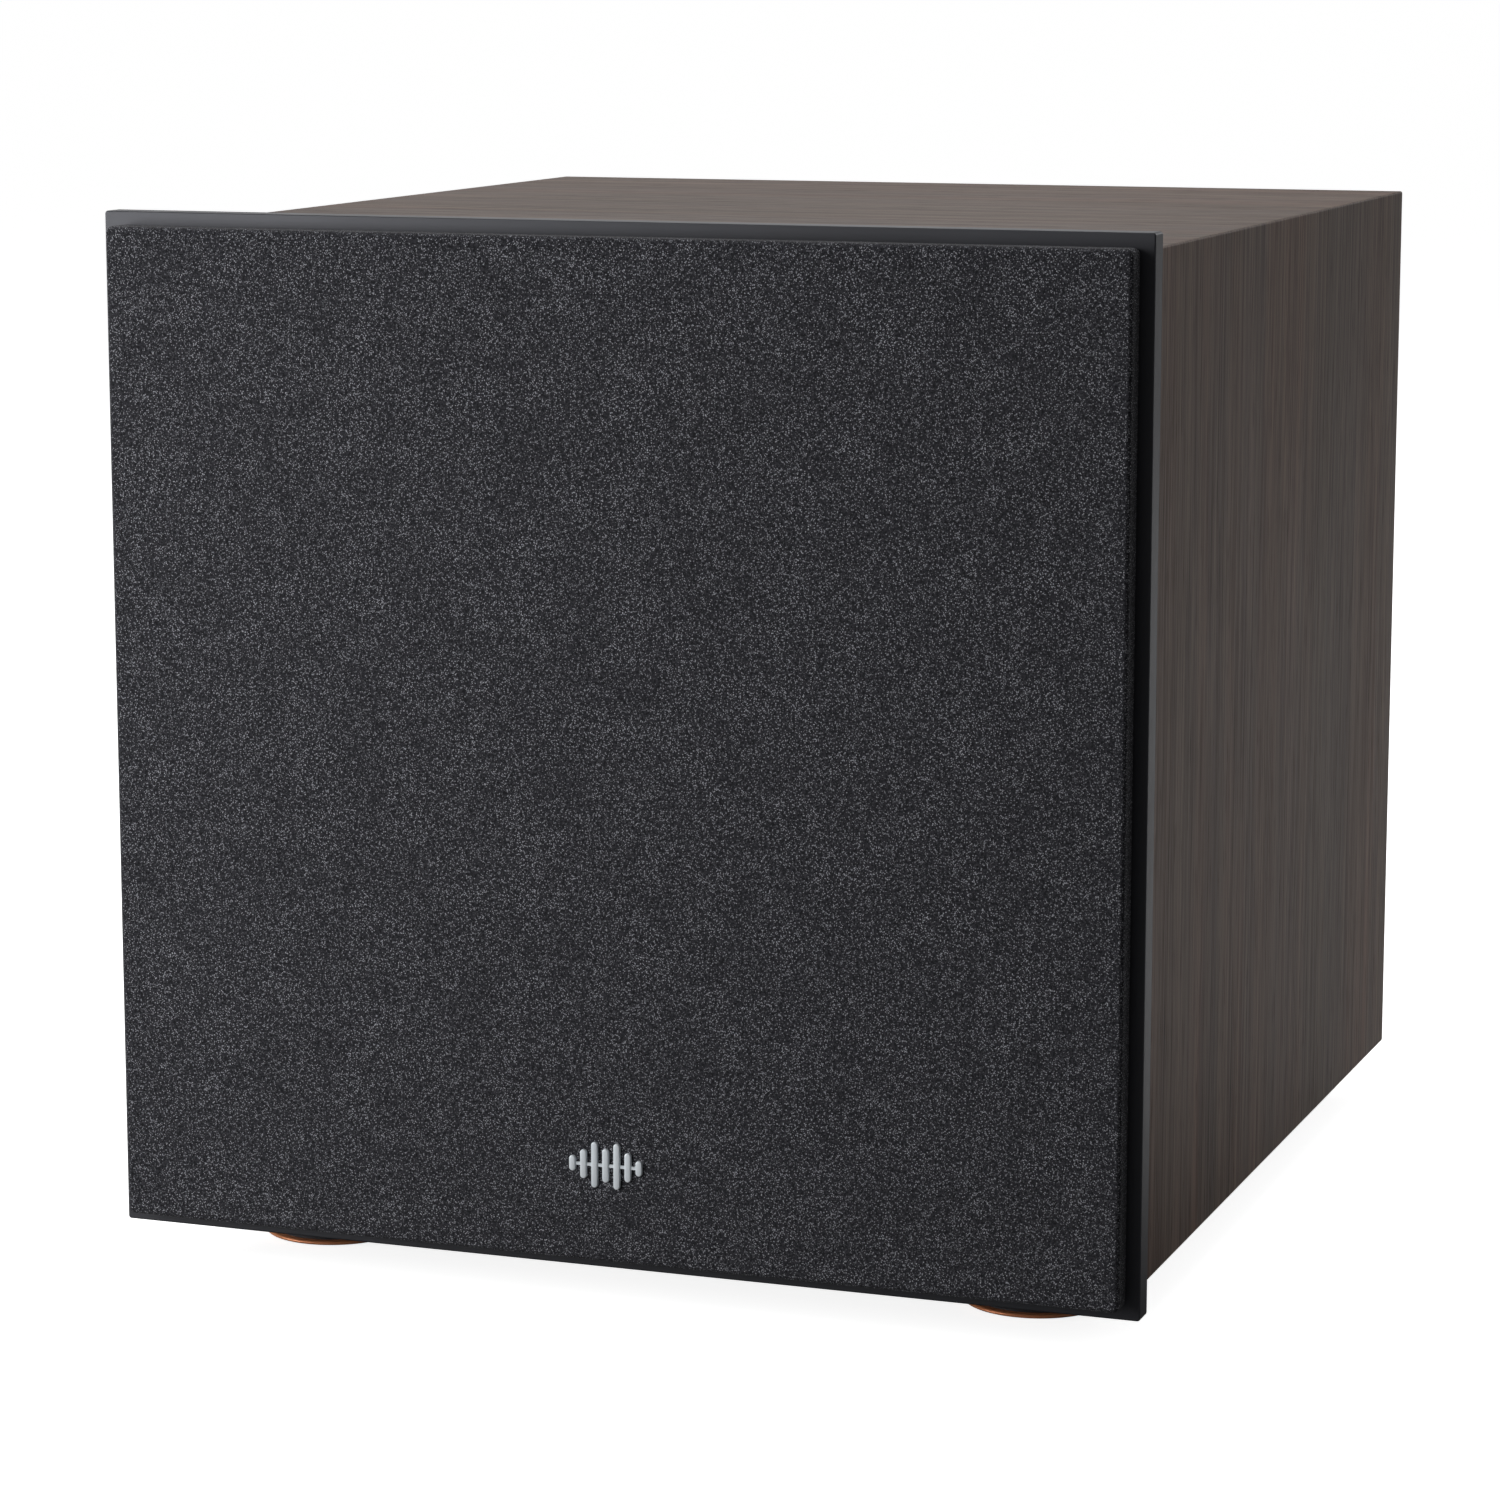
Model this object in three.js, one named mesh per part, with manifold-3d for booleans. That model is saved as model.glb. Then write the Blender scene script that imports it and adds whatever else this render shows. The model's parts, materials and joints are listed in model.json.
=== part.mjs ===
// Powered subwoofer: a veneered box with a framed cloth grille, a long-throw
// driver, a down-firing port, a plate amplifier and four ringed feet.
// Millimetres, +Z up. The front faces -Y and +X is to the right seen from the
// front. The origin is on the floor, under the middle of the whole object.

import * as THREE from 'three';
import { mergeVertices } from 'three/addons/utils/BufferGeometryUtils.js';
import Module from 'manifold-3d';

const wasm = await Module();
wasm.setup();

// ---------------------------------------------------------------- dimensions
// A depth is measured backwards from the front face of the grille.

const FINE = 36; // sides of the large round pieces
const MEDIUM = 28; // sides of the motor and the port
const COARSE = 18; // sides of the feet and the knobs
const SMALL = 12; // sides of pins, jacks and standoffs

const GAP = 0.3; // fitting clearance between neighbours

const FASCIA = {
  width: 350, height: 336, bottom: 14, front: 9, thickness: 8.5, corner: 2,
  openingRear: 133, openingFront: 140,
};
FASCIA.rear = FASCIA.front + FASCIA.thickness;
FASCIA.middle = FASCIA.bottom + FASCIA.height / 2;

const CABINET = { width: 338, bottom: 18, top: 344, depth: 370, wall: 15 };
CABINET.front = FASCIA.rear;
CABINET.rear = CABINET.front + CABINET.depth;
CABINET.inside = {
  halfWidth: CABINET.width / 2 - CABINET.wall,
  bottom: CABINET.bottom + CABINET.wall,
  top: CABINET.top - CABINET.wall,
};

const BAFFLE = { thickness: 18, cutout: 118, rebate: 133, rebateDepth: 6 };
const BRACE = { front: 175, thickness: 15, windowWidth: 236, windowHeight: 224, corner: 40 };

const GRILLE = { width: 341, height: 327, rear: 8.7, cloth: 1, corner: 3 };
const GRILLE_FRAME = { front: 1.3, rear: 8.4, corner: 2, opening: 141 };
const PEG = { x: 152, z: 145, radius: 3, tip: 2.2, end: 15.5, chamfer: 1 };
const GROMMET = { bore: 3.4, outer: 7, hole: 7.3, lip: 8.8, lipFront: 8.6, end: 17.2 };
const BADGE = {
  proud: 1, x: 1, z: 50.5, barWidth: 2.2, pitch: 3.8, spine: 1,
  heights: [5, 9.5, 15, 11, 15, 9.5, 5],
};

const FLANGE = { outer: 131, front: 21.5, rear: 23.5 };
const ROLL = { middle: 108.5, outerRadius: 9, innerRadius: 8, base: 20.5, thickness: 1, steps: 7 };
const CONE = { rim: 100, bend: 94, front: 21.5, thickness: 1.7, neck: 26.6, neckFront: 68 };
const DUST_CAP = { radius: 50, crest: 36, edge: 51.5, thickness: 1.5, steps: 4 };
const COIL = {
  inner: 25.4, former: 26.2, winding: 27.8, front: 66.5, rear: 100,
  windingFront: 81, windingRear: 97,
};
const SPIDER = { neck: 26.6, outer: 69.5, landing: 63, depth: 71.4, seat: 73, wave: 1.4, waves: 2 };
const MOTOR = {
  front: 86, plate: 6, plateBore: 28.8, plateRadius: 60,
  magnet: 20, magnetBore: 36, magnetRadius: 67,
  back: 6, pole: 24.6, poleFront: 87, vent: 8,
};
const BASKET_WINDOWS = { count: 8, halfAngle: 15, inner: 60, outer: 140, front: 39, rear: 66 };
const TERMINAL = { angle: 112.5, inner: 99, outer: 113, width: 22, front: 50, rear: 60 };

const PORT = {
  depth: 250, inner: 30, outer: 33, hole: 33.3, top: 258, flare: 7, flareStart: 246,
  flangeOuter: 48, flangeThickness: 2.5, mouth: 36,
};

const AMP = { width: 210, height: 250, middle: 185, thickness: 2.5, gasket: 1.5, lap: 12, corner: 3 };
AMP.rear = CABINET.rear;
AMP.front = AMP.rear - AMP.thickness;
AMP.seat = AMP.front - AMP.gasket;

const KNOB = { x: 48, z: 255, radius: 9, face: 8, rear: 401, shaft: 2.9, hole: 4.2, shaftEnd: 370 };
const POT = { size: 20, front: 362.6, rear: 378, bore: 3.5 };
const SWITCH = { x: 16, z: 205, block: 54, height: 12, rear: 383, travel: 4 };
const NIB = { width: 3, height: 3.6, front: 374, rear: 390.5 };
const SLOT = { width: 9, height: 5, floor: 373 };
const JACK = { leftX: 60, rightX: 36, z: 150, barrel: 4.2, bore: 1.8, rear: 396, hole: 4.6 };
const LED = { x: -48, z: 150, radius: 1.5, rear: 389, hole: 1.9 };
const INLET = {
  x: 45, z: 88, width: 27, height: 19.5, front: 366, lip: 32, lipHeight: 25, rear: 389.5,
  recessWidth: 23.5, recessHeight: 16, floor: 371.5, corner: 4.5, bladeRear: 382.5,
};
const ROCKER = {
  x: -48, z: 88, width: 10, halfLength: 7.6, pivot: 384, rest: 10,
  bodyWidth: 13, bodyHeight: 20, front: 370, floor: 379, lipWidth: 16, lipHeight: 24,
  lipRear: 389, wellWidth: 10.8, wellHeight: 17.8,
};
const BOARD = { halfWidth: 90, bottom: 138, top: 296, front: 361, rear: 362.6, standoff: 3, inset: 8 };
const CAPACITORS = { radius: 11, height: 30, z: 165, x: [-70, -44, -18] };
const SINK = { x: -48, z: 235, width: 64, height: 90, base: 4, fins: 7, fin: 2, reach: 28 };
const TRANSFORMER = { x: 42, z: 235, width: 66, height: 56, core: 22, coil: 42, reach: 40 };

const FOOT = {
  x: 125, inset: 57, top: 20, base: 21.5, bottom: 2.2, hole: 2.5, well: 7, wellTop: 11,
  ringInner: 17.5, ringOuter: 24, ringBottom: 0.9, pad: 20.5,
};

const WADDING = { front: 196, rear: 352, thickness: 20, bottom: 62, margin: 0.5 };
const LEAD = { radius: 2, sides: 8, steps: 26 };

// The whole object runs from the badge to the end of the knobs.
const MIDDLE_DEPTH = (KNOB.rear - BADGE.proud) / 2;

// ------------------------------------------------------------------ finishes

const finish = (color, roughness, metalness = 0) => (
  new THREE.MeshStandardMaterial({ color, roughness, metalness })
);

const FINISH = {
  veneer: () => finish(0x453b35, 0.5),
  fibreboard: () => finish(0x9c7a52, 0.85),
  satinBlack: () => finish(0x1b1c1f, 0.38),
  mouldedBlack: () => finish(0x141416, 0.55),
  cloth: () => finish(0x2b2b2f, 0.95),
  badge: () => finish(0xbcc3c8, 0.35, 0.9),
  rubber: () => finish(0x121212, 0.8),
  foam: () => finish(0x1d1d1d, 0.95),
  paperCone: () => finish(0x26272a, 0.7),
  steel: () => finish(0x2b2c2e, 0.45, 0.9),
  zinc: () => finish(0xa5a8aa, 0.35, 0.95),
  ferrite: () => finish(0x242424, 0.7),
  winding: () => finish(0xa2603a, 0.4, 0.8),
  spider: () => finish(0xb99a55, 0.9),
  board: () => finish(0x1f5138, 0.5),
  aluminium: () => finish(0x9a9da0, 0.4, 0.9),
  core: () => finish(0x5f5b57, 0.5, 0.6),
  jackLeft: () => finish(0xd9d9d9, 0.4),
  jackRight: () => finish(0xb02020, 0.4),
  light: () => finish(0x2f6fd0, 0.2),
  copper: () => finish(0x9c4f2e, 0.35, 0.85),
  wadding: () => finish(0xd8d6cf, 1),
  lead: () => finish(0x8d2018, 0.6),
};

// --------------------------------------------------------------- shape tools

const MERGE = 1e-4; // vertices closer than this are one

/** The solid of a closed geometry, with its shared vertices merged. */
function solid(geometry) {
  geometry.deleteAttribute('normal');
  geometry.deleteAttribute('uv');
  const merged = mergeVertices(geometry, MERGE);
  const corners = merged.index.array;
  const triangles = [];
  for (let i = 0; i < corners.length; i += 3) {
    const [a, b, c] = corners.slice(i, i + 3);
    if (a !== b && b !== c && c !== a) triangles.push(a, b, c);
  }
  return new wasm.Manifold(new wasm.Mesh({
    numProp: 3,
    vertProperties: merged.attributes.position.array,
    triVerts: new Uint32Array(triangles),
  }));
}

/** A block between two corners. */
function block([x0, x1], [y0, y1], [z0, z1]) {
  const geometry = new THREE.BoxGeometry(x1 - x0, y1 - y0, z1 - z0);
  return solid(geometry.translate((x0 + x1) / 2, (y0 + y1) / 2, (z0 + z1) / 2));
}

/** A closed outline of [radius, depth] points turned about the Y axis. */
function turned(outline, sides) {
  const points = outline.map(([radius, depth]) => new THREE.Vector2(radius, depth));
  if (THREE.ShapeUtils.area(points) < 0) points.reverse();
  if (points[0].x !== 0 || points.at(-1).x !== 0) points.push(points[0]);
  return solid(new THREE.LatheGeometry(points, sides));
}

/** A closed outline of [radius, height] points turned about the Z axis. */
function turnedUpright(outline, sides) {
  const points = outline.map(([radius, height]) => new THREE.Vector2(radius, height));
  if (THREE.ShapeUtils.area(points) < 0) points.reverse();
  if (points[0].x !== 0 || points.at(-1).x !== 0) points.push(points[0]);
  return solid(new THREE.LatheGeometry(points, sides).rotateX(Math.PI / 2));
}

/** A round bar along Y. */
const rod = (radius, front, rear, sides) => (
  turned([[0, front], [radius, front], [radius, rear], [0, rear]], sides)
);

/** A shape drawn in X and Z, between two depths. */
function extruded(shape, front, rear, curveSegments = 2) {
  const geometry = new THREE.ExtrudeGeometry(shape, {
    depth: rear - front, bevelEnabled: false, curveSegments,
  });
  return solid(geometry.rotateX(Math.PI / 2).translate(0, rear, 0));
}

/** A rectangle about a centre, with round corners. */
function roundedRectangle(width, height, radius, x = 0, z = 0) {
  const [left, right] = [x - width / 2, x + width / 2];
  const [bottom, top] = [z - height / 2, z + height / 2];
  const shape = new THREE.Shape();
  shape.moveTo(left + radius, bottom);
  shape.lineTo(right - radius, bottom);
  shape.absarc(right - radius, bottom + radius, radius, -Math.PI / 2, 0);
  shape.lineTo(right, top - radius);
  shape.absarc(right - radius, top - radius, radius, 0, Math.PI / 2);
  shape.lineTo(left + radius, top);
  shape.absarc(left + radius, top - radius, radius, Math.PI / 2, Math.PI);
  shape.lineTo(left, bottom + radius);
  shape.absarc(left + radius, bottom + radius, radius, Math.PI, Math.PI * 1.5);
  return shape;
}

/** A polygon through [x, z] points. */
const polygon = (points) => new THREE.Shape(points.map(([x, z]) => new THREE.Vector2(x, z)));

/** The same place on the left and the right, and at the bottom and the top. */
const MIRRORED = [[-1, -1], [1, -1], [-1, 1], [1, 1]];

/** A named mesh of a solid, added to a parent. */
function add(parent, name, body, material) {
  const { vertProperties, triVerts } = body.getMesh();
  const geometry = new THREE.BufferGeometry();
  geometry.setAttribute('position', new THREE.BufferAttribute(vertProperties, 3));
  geometry.setIndex(new THREE.BufferAttribute(triVerts, 1));
  geometry.computeVertexNormals();
  const mesh = new THREE.Mesh(geometry, material);
  mesh.name = name;
  parent.add(mesh);
  return mesh;
}

// ------------------------------------------------------------------- cabinet

/** A wall whose long edges are mitred at 45 degrees. */
function mitredWall(corners) {
  return extruded(polygon(corners), CABINET.front, CABINET.rear);
}

function wallOutlines() {
  const half = CABINET.width / 2;
  const { halfWidth, bottom, top } = CABINET.inside;
  return {
    top: [[-half, CABINET.top], [-halfWidth, top], [halfWidth, top], [half, CABINET.top]],
    bottom: [
      [-half, CABINET.bottom], [half, CABINET.bottom], [halfWidth, bottom], [-halfWidth, bottom],
    ],
    left: [[-half, CABINET.bottom], [-halfWidth, bottom], [-halfWidth, top], [-half, CABINET.top]],
    right: [[half, CABINET.bottom], [half, CABINET.top], [halfWidth, top], [halfWidth, bottom]],
  };
}

function portHole() {
  const outline = [[0, 0], [PORT.hole, 0], [PORT.hole, PORT.flareStart], [0, PORT.flareStart]];
  return turnedUpright(outline, MEDIUM).translate([0, PORT.depth, 0]);
}

/** A board that fills the inside of the box between two depths. */
function innerBoard(front, rear) {
  const { halfWidth, bottom, top } = CABINET.inside;
  return block([-halfWidth, halfWidth], [front, rear], [bottom, top]);
}

function baffleBoard() {
  const board = innerBoard(CABINET.front, CABINET.front + BAFFLE.thickness);
  const rebateFloor = CABINET.front + BAFFLE.rebateDepth;
  const hole = rod(BAFFLE.cutout, 0, CABINET.rear, FINE)
    .add(rod(BAFFLE.rebate, 0, rebateFloor, FINE))
    .translate([0, 0, FASCIA.middle]);
  return board.subtract(hole);
}

function windowBrace() {
  const middle = (CABINET.inside.bottom + CABINET.inside.top) / 2;
  const window = roundedRectangle(BRACE.windowWidth, BRACE.windowHeight, BRACE.corner, 0, middle);
  return innerBoard(BRACE.front, BRACE.front + BRACE.thickness)
    .subtract(extruded(window, 0, CABINET.rear));
}

function rearPanel() {
  const recess = roundedRectangle(
    AMP.width + 2 * GAP, AMP.height + 2 * GAP, AMP.corner + GAP, 0, AMP.middle,
  );
  const hole = roundedRectangle(
    AMP.width - 2 * AMP.lap, AMP.height - 2 * AMP.lap, AMP.corner, 0, AMP.middle,
  );
  return innerBoard(CABINET.rear - CABINET.wall, CABINET.rear)
    .subtract(extruded(recess, AMP.seat, AMP.rear + 1))
    .subtract(extruded(hole, 0, AMP.rear));
}

function fascia() {
  const board = roundedRectangle(FASCIA.width, FASCIA.height, FASCIA.corner, 0, FASCIA.middle);
  const flare = turned([
    [0, FASCIA.front - 1], [FASCIA.openingFront, FASCIA.front - 1],
    [FASCIA.openingFront, FASCIA.front], [FASCIA.openingRear, FASCIA.rear],
    [FASCIA.openingRear, FASCIA.rear + 1], [0, FASCIA.rear + 1],
  ], FINE).translate([0, 0, FASCIA.middle]);
  let body = extruded(board, FASCIA.front, FASCIA.rear).subtract(flare);
  for (const [side, level] of MIRRORED) {
    const hole = rod(GROMMET.hole, 0, CABINET.rear, COARSE);
    body = body.subtract(hole.translate([side * PEG.x, 0, FASCIA.middle + level * PEG.z]));
  }
  return body;
}

function addCabinet(parent) {
  const outlines = wallOutlines();
  add(parent, 'top_panel', mitredWall(outlines.top), FINISH.veneer());
  add(parent, 'bottom_panel', mitredWall(outlines.bottom).subtract(portHole()), FINISH.veneer());
  add(parent, 'left_panel', mitredWall(outlines.left), FINISH.veneer());
  add(parent, 'right_panel', mitredWall(outlines.right), FINISH.veneer());
  add(parent, 'rear_panel', rearPanel(), FINISH.veneer());
  add(parent, 'baffle_board', baffleBoard(), FINISH.fibreboard());
  add(parent, 'window_brace', windowBrace(), FINISH.fibreboard());
  add(parent, 'front_fascia', fascia(), FINISH.satinBlack());
}

// -------------------------------------------------------------------- grille

function grilleCloth() {
  const { width, height, corner, cloth } = GRILLE;
  const outside = roundedRectangle(width, height, corner, 0, FASCIA.middle);
  const pocket = roundedRectangle(
    width - 2 * cloth, height - 2 * cloth, corner - cloth, 0, FASCIA.middle,
  );
  return extruded(outside, 0, GRILLE.rear).subtract(extruded(pocket, cloth, GRILLE.rear + 1));
}

/** A peg with a chamfered tip, standing on the back of the frame. */
const peg = () => turned([
  [0, GRILLE_FRAME.rear - 1], [PEG.radius, GRILLE_FRAME.rear - 1],
  [PEG.radius, PEG.end - PEG.chamfer], [PEG.tip, PEG.end], [0, PEG.end],
], SMALL);

function grilleFrame() {
  const inset = 2 * (GRILLE.cloth + GAP);
  const outline = roundedRectangle(
    GRILLE.width - inset, GRILLE.height - inset, GRILLE_FRAME.corner, 0, FASCIA.middle,
  );
  const opening = rod(GRILLE_FRAME.opening, 0, FASCIA.front, FINE);
  let body = extruded(outline, GRILLE_FRAME.front, GRILLE_FRAME.rear)
    .subtract(opening.translate([0, 0, FASCIA.middle]));
  for (const [side, level] of MIRRORED) {
    body = body.add(peg().translate([side * PEG.x, 0, FASCIA.middle + level * PEG.z]));
  }
  return body;
}

/** Upright bars of a sound wave, held together by a thin spine. */
function badge() {
  const { barWidth, pitch, heights, spine, proud } = BADGE;
  const reach = (pitch * (heights.length - 1)) / 2;
  let body = block([-reach, reach], [-proud, 0], [-spine / 2, spine / 2]);
  heights.forEach((height, i) => {
    const [left, right] = [i * pitch - reach - barWidth / 2, i * pitch - reach + barWidth / 2];
    body = body.add(block([left, right], [-proud, 0], [-height / 2, height / 2]));
  });
  return body;
}

const grommet = () => turned([
  [GROMMET.bore, GROMMET.lipFront], [GROMMET.lip, GROMMET.lipFront],
  [GROMMET.lip, FASCIA.front], [GROMMET.outer, FASCIA.front],
  [GROMMET.outer, GROMMET.end], [GROMMET.bore, GROMMET.end],
], COARSE);

function addGrille(parent) {
  add(parent, 'grille_frame', grilleFrame(), FINISH.mouldedBlack());
  add(parent, 'grille_cloth', grilleCloth(), FINISH.cloth());
  add(parent, 'grille_badge', badge(), FINISH.badge()).position.set(BADGE.x, 0, BADGE.z);
  MIRRORED.forEach(([side, level], i) => {
    add(parent, `grille_grommet_${i + 1}`, grommet(), FINISH.rubber())
      .position.set(side * PEG.x, 0, FASCIA.middle + level * PEG.z);
  });
}

// -------------------------------------------------------------------- driver
// Every outline here is turned about the driver's own axis.

/** The pressed frame: flange, window wall, shelf for the spider, and floor. */
function basket() {
  let body = turned([
    [113, FLANGE.front], [FLANGE.outer, FLANGE.front], [FLANGE.outer, FLANGE.rear],
    [116.8, FLANGE.rear], [114.5, 36], [73, 69.5], [72, 75], [64, 76],
    [62, MOTOR.front], [34, MOTOR.front], [34, 84], [60, 84],
    [61.5, SPIDER.seat], [70.5, SPIDER.seat], [71, 68], [112.5, 34.5],
  ], FINE);
  const { count, halfAngle, inner, outer, front, rear } = BASKET_WINDOWS;
  const spread = THREE.MathUtils.degToRad(halfAngle);
  const [cosine, sine] = [Math.cos(spread), Math.sin(spread)];
  const window = extruded(polygon([
    [inner * cosine, -inner * sine], [outer * cosine, -outer * sine],
    [outer * cosine, outer * sine], [inner * cosine, inner * sine],
  ]), front, rear);
  for (let i = 0; i < count; i += 1) {
    body = body.subtract(window.rotate([0, (i * 360) / count, 0]));
  }
  return body;
}

/** The trim ring that covers the surround's landing. */
const trimRing = () => turned([
  [118.6, 20.2], [124.5, 20.2], [124.5, FLANGE.front], [FLANGE.outer, FLANGE.front],
  [FLANGE.outer, 18.2], [128, 16.8], [121.5, 16.8], [118.6, 18.6],
], FINE);

/** Points of a half circle that bulges to the front, from its inner to its outer foot. */
function halfRoll(radius, foot) {
  return Array.from({ length: ROLL.steps + 1 }, (_, i) => {
    const angle = Math.PI * (1 - i / ROLL.steps);
    return [ROLL.middle + radius * Math.cos(angle), foot - radius * Math.sin(angle)];
  });
}

function surround() {
  const { base, thickness } = ROLL;
  return turned([
    [CONE.bend, base], ...halfRoll(ROLL.outerRadius, base), [124, base],
    [124, base + thickness], ...halfRoll(ROLL.innerRadius, base + thickness).reverse(),
    [CONE.bend, base + thickness],
  ], FINE);
}

const cone = () => turned([
  [CONE.rim, CONE.front], [CONE.bend, CONE.front], [60, 46], [CONE.neck, CONE.neckFront],
  [CONE.neck, CONE.neckFront + 2], [61, 48], [CONE.bend + 1, CONE.front + CONE.thickness],
  [CONE.rim, CONE.front + CONE.thickness],
], FINE);

function dustCap() {
  const { radius, crest, edge, thickness, steps } = DUST_CAP;
  const rise = edge - crest;
  const sphere = (radius ** 2 + rise ** 2) / (2 * rise);
  const reach = Math.asin(radius / sphere);
  const dome = (size) => Array.from({ length: steps + 1 }, (_, i) => {
    const angle = (reach * i) / steps;
    return [size * Math.sin(angle), crest + sphere - size * Math.cos(angle)];
  });
  return turned([...dome(sphere), ...dome(sphere - thickness).reverse()], FINE);
}

const voiceCoil = () => turned([
  [COIL.inner, COIL.front], [COIL.former, COIL.front],
  [COIL.former, COIL.windingFront], [COIL.winding, COIL.windingFront],
  [COIL.winding, COIL.windingRear], [COIL.former, COIL.windingRear],
  [COIL.former, COIL.rear], [COIL.inner, COIL.rear],
], MEDIUM);

/** The corrugated centring disc. */
function spider() {
  const { neck, outer, landing, depth, seat, wave, waves } = SPIDER;
  const thickness = 1;
  const creases = Array.from({ length: 2 * waves + 1 }, (_, i) => {
    const radius = neck + 3 + ((landing - neck - 6) * i) / (2 * waves);
    return [radius, depth - thickness + (i % 2 ? -wave : wave) / 2];
  });
  const front = [
    [neck, depth - thickness], ...creases, [landing, seat - thickness], [outer, seat - thickness],
  ];
  const rear = front.map(([radius, at]) => [radius, at + thickness]).reverse();
  return turned([...front, ...rear], MEDIUM);
}

/** A flat ring of the motor. */
const ring = (bore, radius, front, thickness) => turned([
  [bore, front], [radius, front], [radius, front + thickness], [bore, front + thickness],
], MEDIUM);

/** The back plate, with the vented pole piece standing on it. */
function backPlate() {
  const front = MOTOR.front + MOTOR.plate + MOTOR.magnet;
  return turned([
    [MOTOR.vent, MOTOR.poleFront], [MOTOR.pole, MOTOR.poleFront], [MOTOR.pole, front],
    [MOTOR.plateRadius, front], [MOTOR.plateRadius, front + MOTOR.back],
    [MOTOR.vent, front + MOTOR.back],
  ], MEDIUM);
}

/** The block that the lead is pushed on to, with its two blades. */
function terminal() {
  const { inner, outer, width, front, rear, angle } = TERMINAL;
  let body = block([inner, outer], [front, rear], [-width / 2, width / 2]);
  for (const side of [-1, 1]) {
    const z = (side * width) / 4;
    body = body.add(block([outer - 1, outer + 3], [front + 3, rear - 3], [z - 2.4, z + 2.4]));
  }
  return body.rotate([0, angle, 0]);
}

function addDriver(parent) {
  const driver = new THREE.Group();
  driver.position.z = FASCIA.middle;
  parent.add(driver);
  const magnetFront = MOTOR.front + MOTOR.plate;
  add(driver, 'woofer_basket', basket(), FINISH.steel());
  add(driver, 'woofer_trim_ring', trimRing(), FINISH.rubber());
  add(driver, 'woofer_surround', surround(), FINISH.rubber());
  add(driver, 'woofer_cone', cone(), FINISH.paperCone());
  add(driver, 'woofer_dust_cap', dustCap(), FINISH.paperCone());
  add(driver, 'voice_coil', voiceCoil(), FINISH.winding());
  add(driver, 'woofer_spider', spider(), FINISH.spider());
  add(
    driver, 'motor_front_plate',
    ring(MOTOR.plateBore, MOTOR.plateRadius, MOTOR.front, MOTOR.plate), FINISH.zinc(),
  );
  add(
    driver, 'motor_magnet',
    ring(MOTOR.magnetBore, MOTOR.magnetRadius, magnetFront, MOTOR.magnet), FINISH.ferrite(),
  );
  add(driver, 'motor_back_plate', backPlate(), FINISH.zinc());
  add(driver, 'woofer_terminal', terminal(), FINISH.mouldedBlack());
}

// ---------------------------------------------------------------------- port

function portTube() {
  const { inner, outer, top, flare, flareStart } = PORT;
  return turnedUpright([
    [inner, CABINET.bottom], [outer, CABINET.bottom], [outer, flareStart],
    [outer + flare - 2, top - 3], [outer + flare - 1, top], [inner + flare, top],
    [inner + flare / 3, top - 6], [inner, flareStart],
  ], MEDIUM);
}

function portFlange() {
  const bottom = CABINET.bottom - PORT.flangeThickness;
  return turnedUpright([
    [PORT.inner, CABINET.bottom], [PORT.flangeOuter, CABINET.bottom],
    [PORT.flangeOuter, CABINET.bottom - 1], [PORT.flangeOuter - 1.5, bottom],
    [PORT.mouth, bottom], [PORT.inner + 2, CABINET.bottom - 1.4],
  ], MEDIUM);
}

function addPort(parent) {
  const port = new THREE.Group();
  port.position.y = PORT.depth;
  parent.add(port);
  add(port, 'port_tube', portTube(), FINISH.mouldedBlack());
  add(port, 'port_flange', portFlange(), FINISH.mouldedBlack());
}

// ----------------------------------------------------------------- amplifier

function ampPlate() {
  const outline = roundedRectangle(AMP.width, AMP.height, AMP.corner, 0, AMP.middle);
  let body = extruded(outline, AMP.front, AMP.rear);
  const drill = (x, z, radius) => {
    body = body.subtract(rod(radius, AMP.seat, AMP.rear + 1, SMALL).translate([x, 0, z]));
  };
  const punch = (x, z, width, height) => {
    body = body.subtract(block(
      [x - width / 2, x + width / 2], [AMP.seat, AMP.rear + 1], [z - height / 2, z + height / 2],
    ));
  };
  for (const side of [-1, 1]) {
    drill(side * KNOB.x, KNOB.z, KNOB.hole);
    punch(side * SWITCH.x, SWITCH.z, SLOT.width, SLOT.height);
  }
  drill(JACK.leftX, JACK.z, JACK.hole);
  drill(JACK.rightX, JACK.z, JACK.hole);
  drill(LED.x, LED.z, LED.hole);
  punch(INLET.x, INLET.z, INLET.width + 1, INLET.height + 1);
  punch(ROCKER.x, ROCKER.z, ROCKER.bodyWidth + 1, ROCKER.bodyHeight + 1);
  return body;
}

function ampGasket() {
  const outline = roundedRectangle(AMP.width, AMP.height, AMP.corner, 0, AMP.middle);
  const hole = roundedRectangle(
    AMP.width - 2 * AMP.lap, AMP.height - 2 * AMP.lap, AMP.corner, 0, AMP.middle,
  );
  return extruded(outline, AMP.seat, AMP.front).subtract(extruded(hole, 0, AMP.rear));
}

/** A rotary knob with a pointer groove, on its own shaft. */
function knob() {
  const body = turned([
    [0, KNOB.shaftEnd], [KNOB.shaft, KNOB.shaftEnd], [KNOB.shaft, AMP.rear + 0.5],
    [KNOB.radius, AMP.rear + 0.5], [KNOB.radius, AMP.rear + 3], [KNOB.face, AMP.rear + 3.5],
    [KNOB.face, KNOB.rear - 1], [KNOB.face - 1, KNOB.rear], [0, KNOB.rear],
  ], COARSE);
  return body.subtract(block([-0.6, 0.6], [KNOB.rear - 0.6, KNOB.rear + 1], [2, KNOB.radius + 1]));
}

/** The potentiometer that a knob's shaft turns in. */
function pot() {
  const half = POT.size / 2;
  return block([-half, half], [POT.front, POT.rear], [-half, half])
    .subtract(rod(POT.bore, KNOB.shaftEnd - GAP, POT.rear + 1, SMALL));
}

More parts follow.
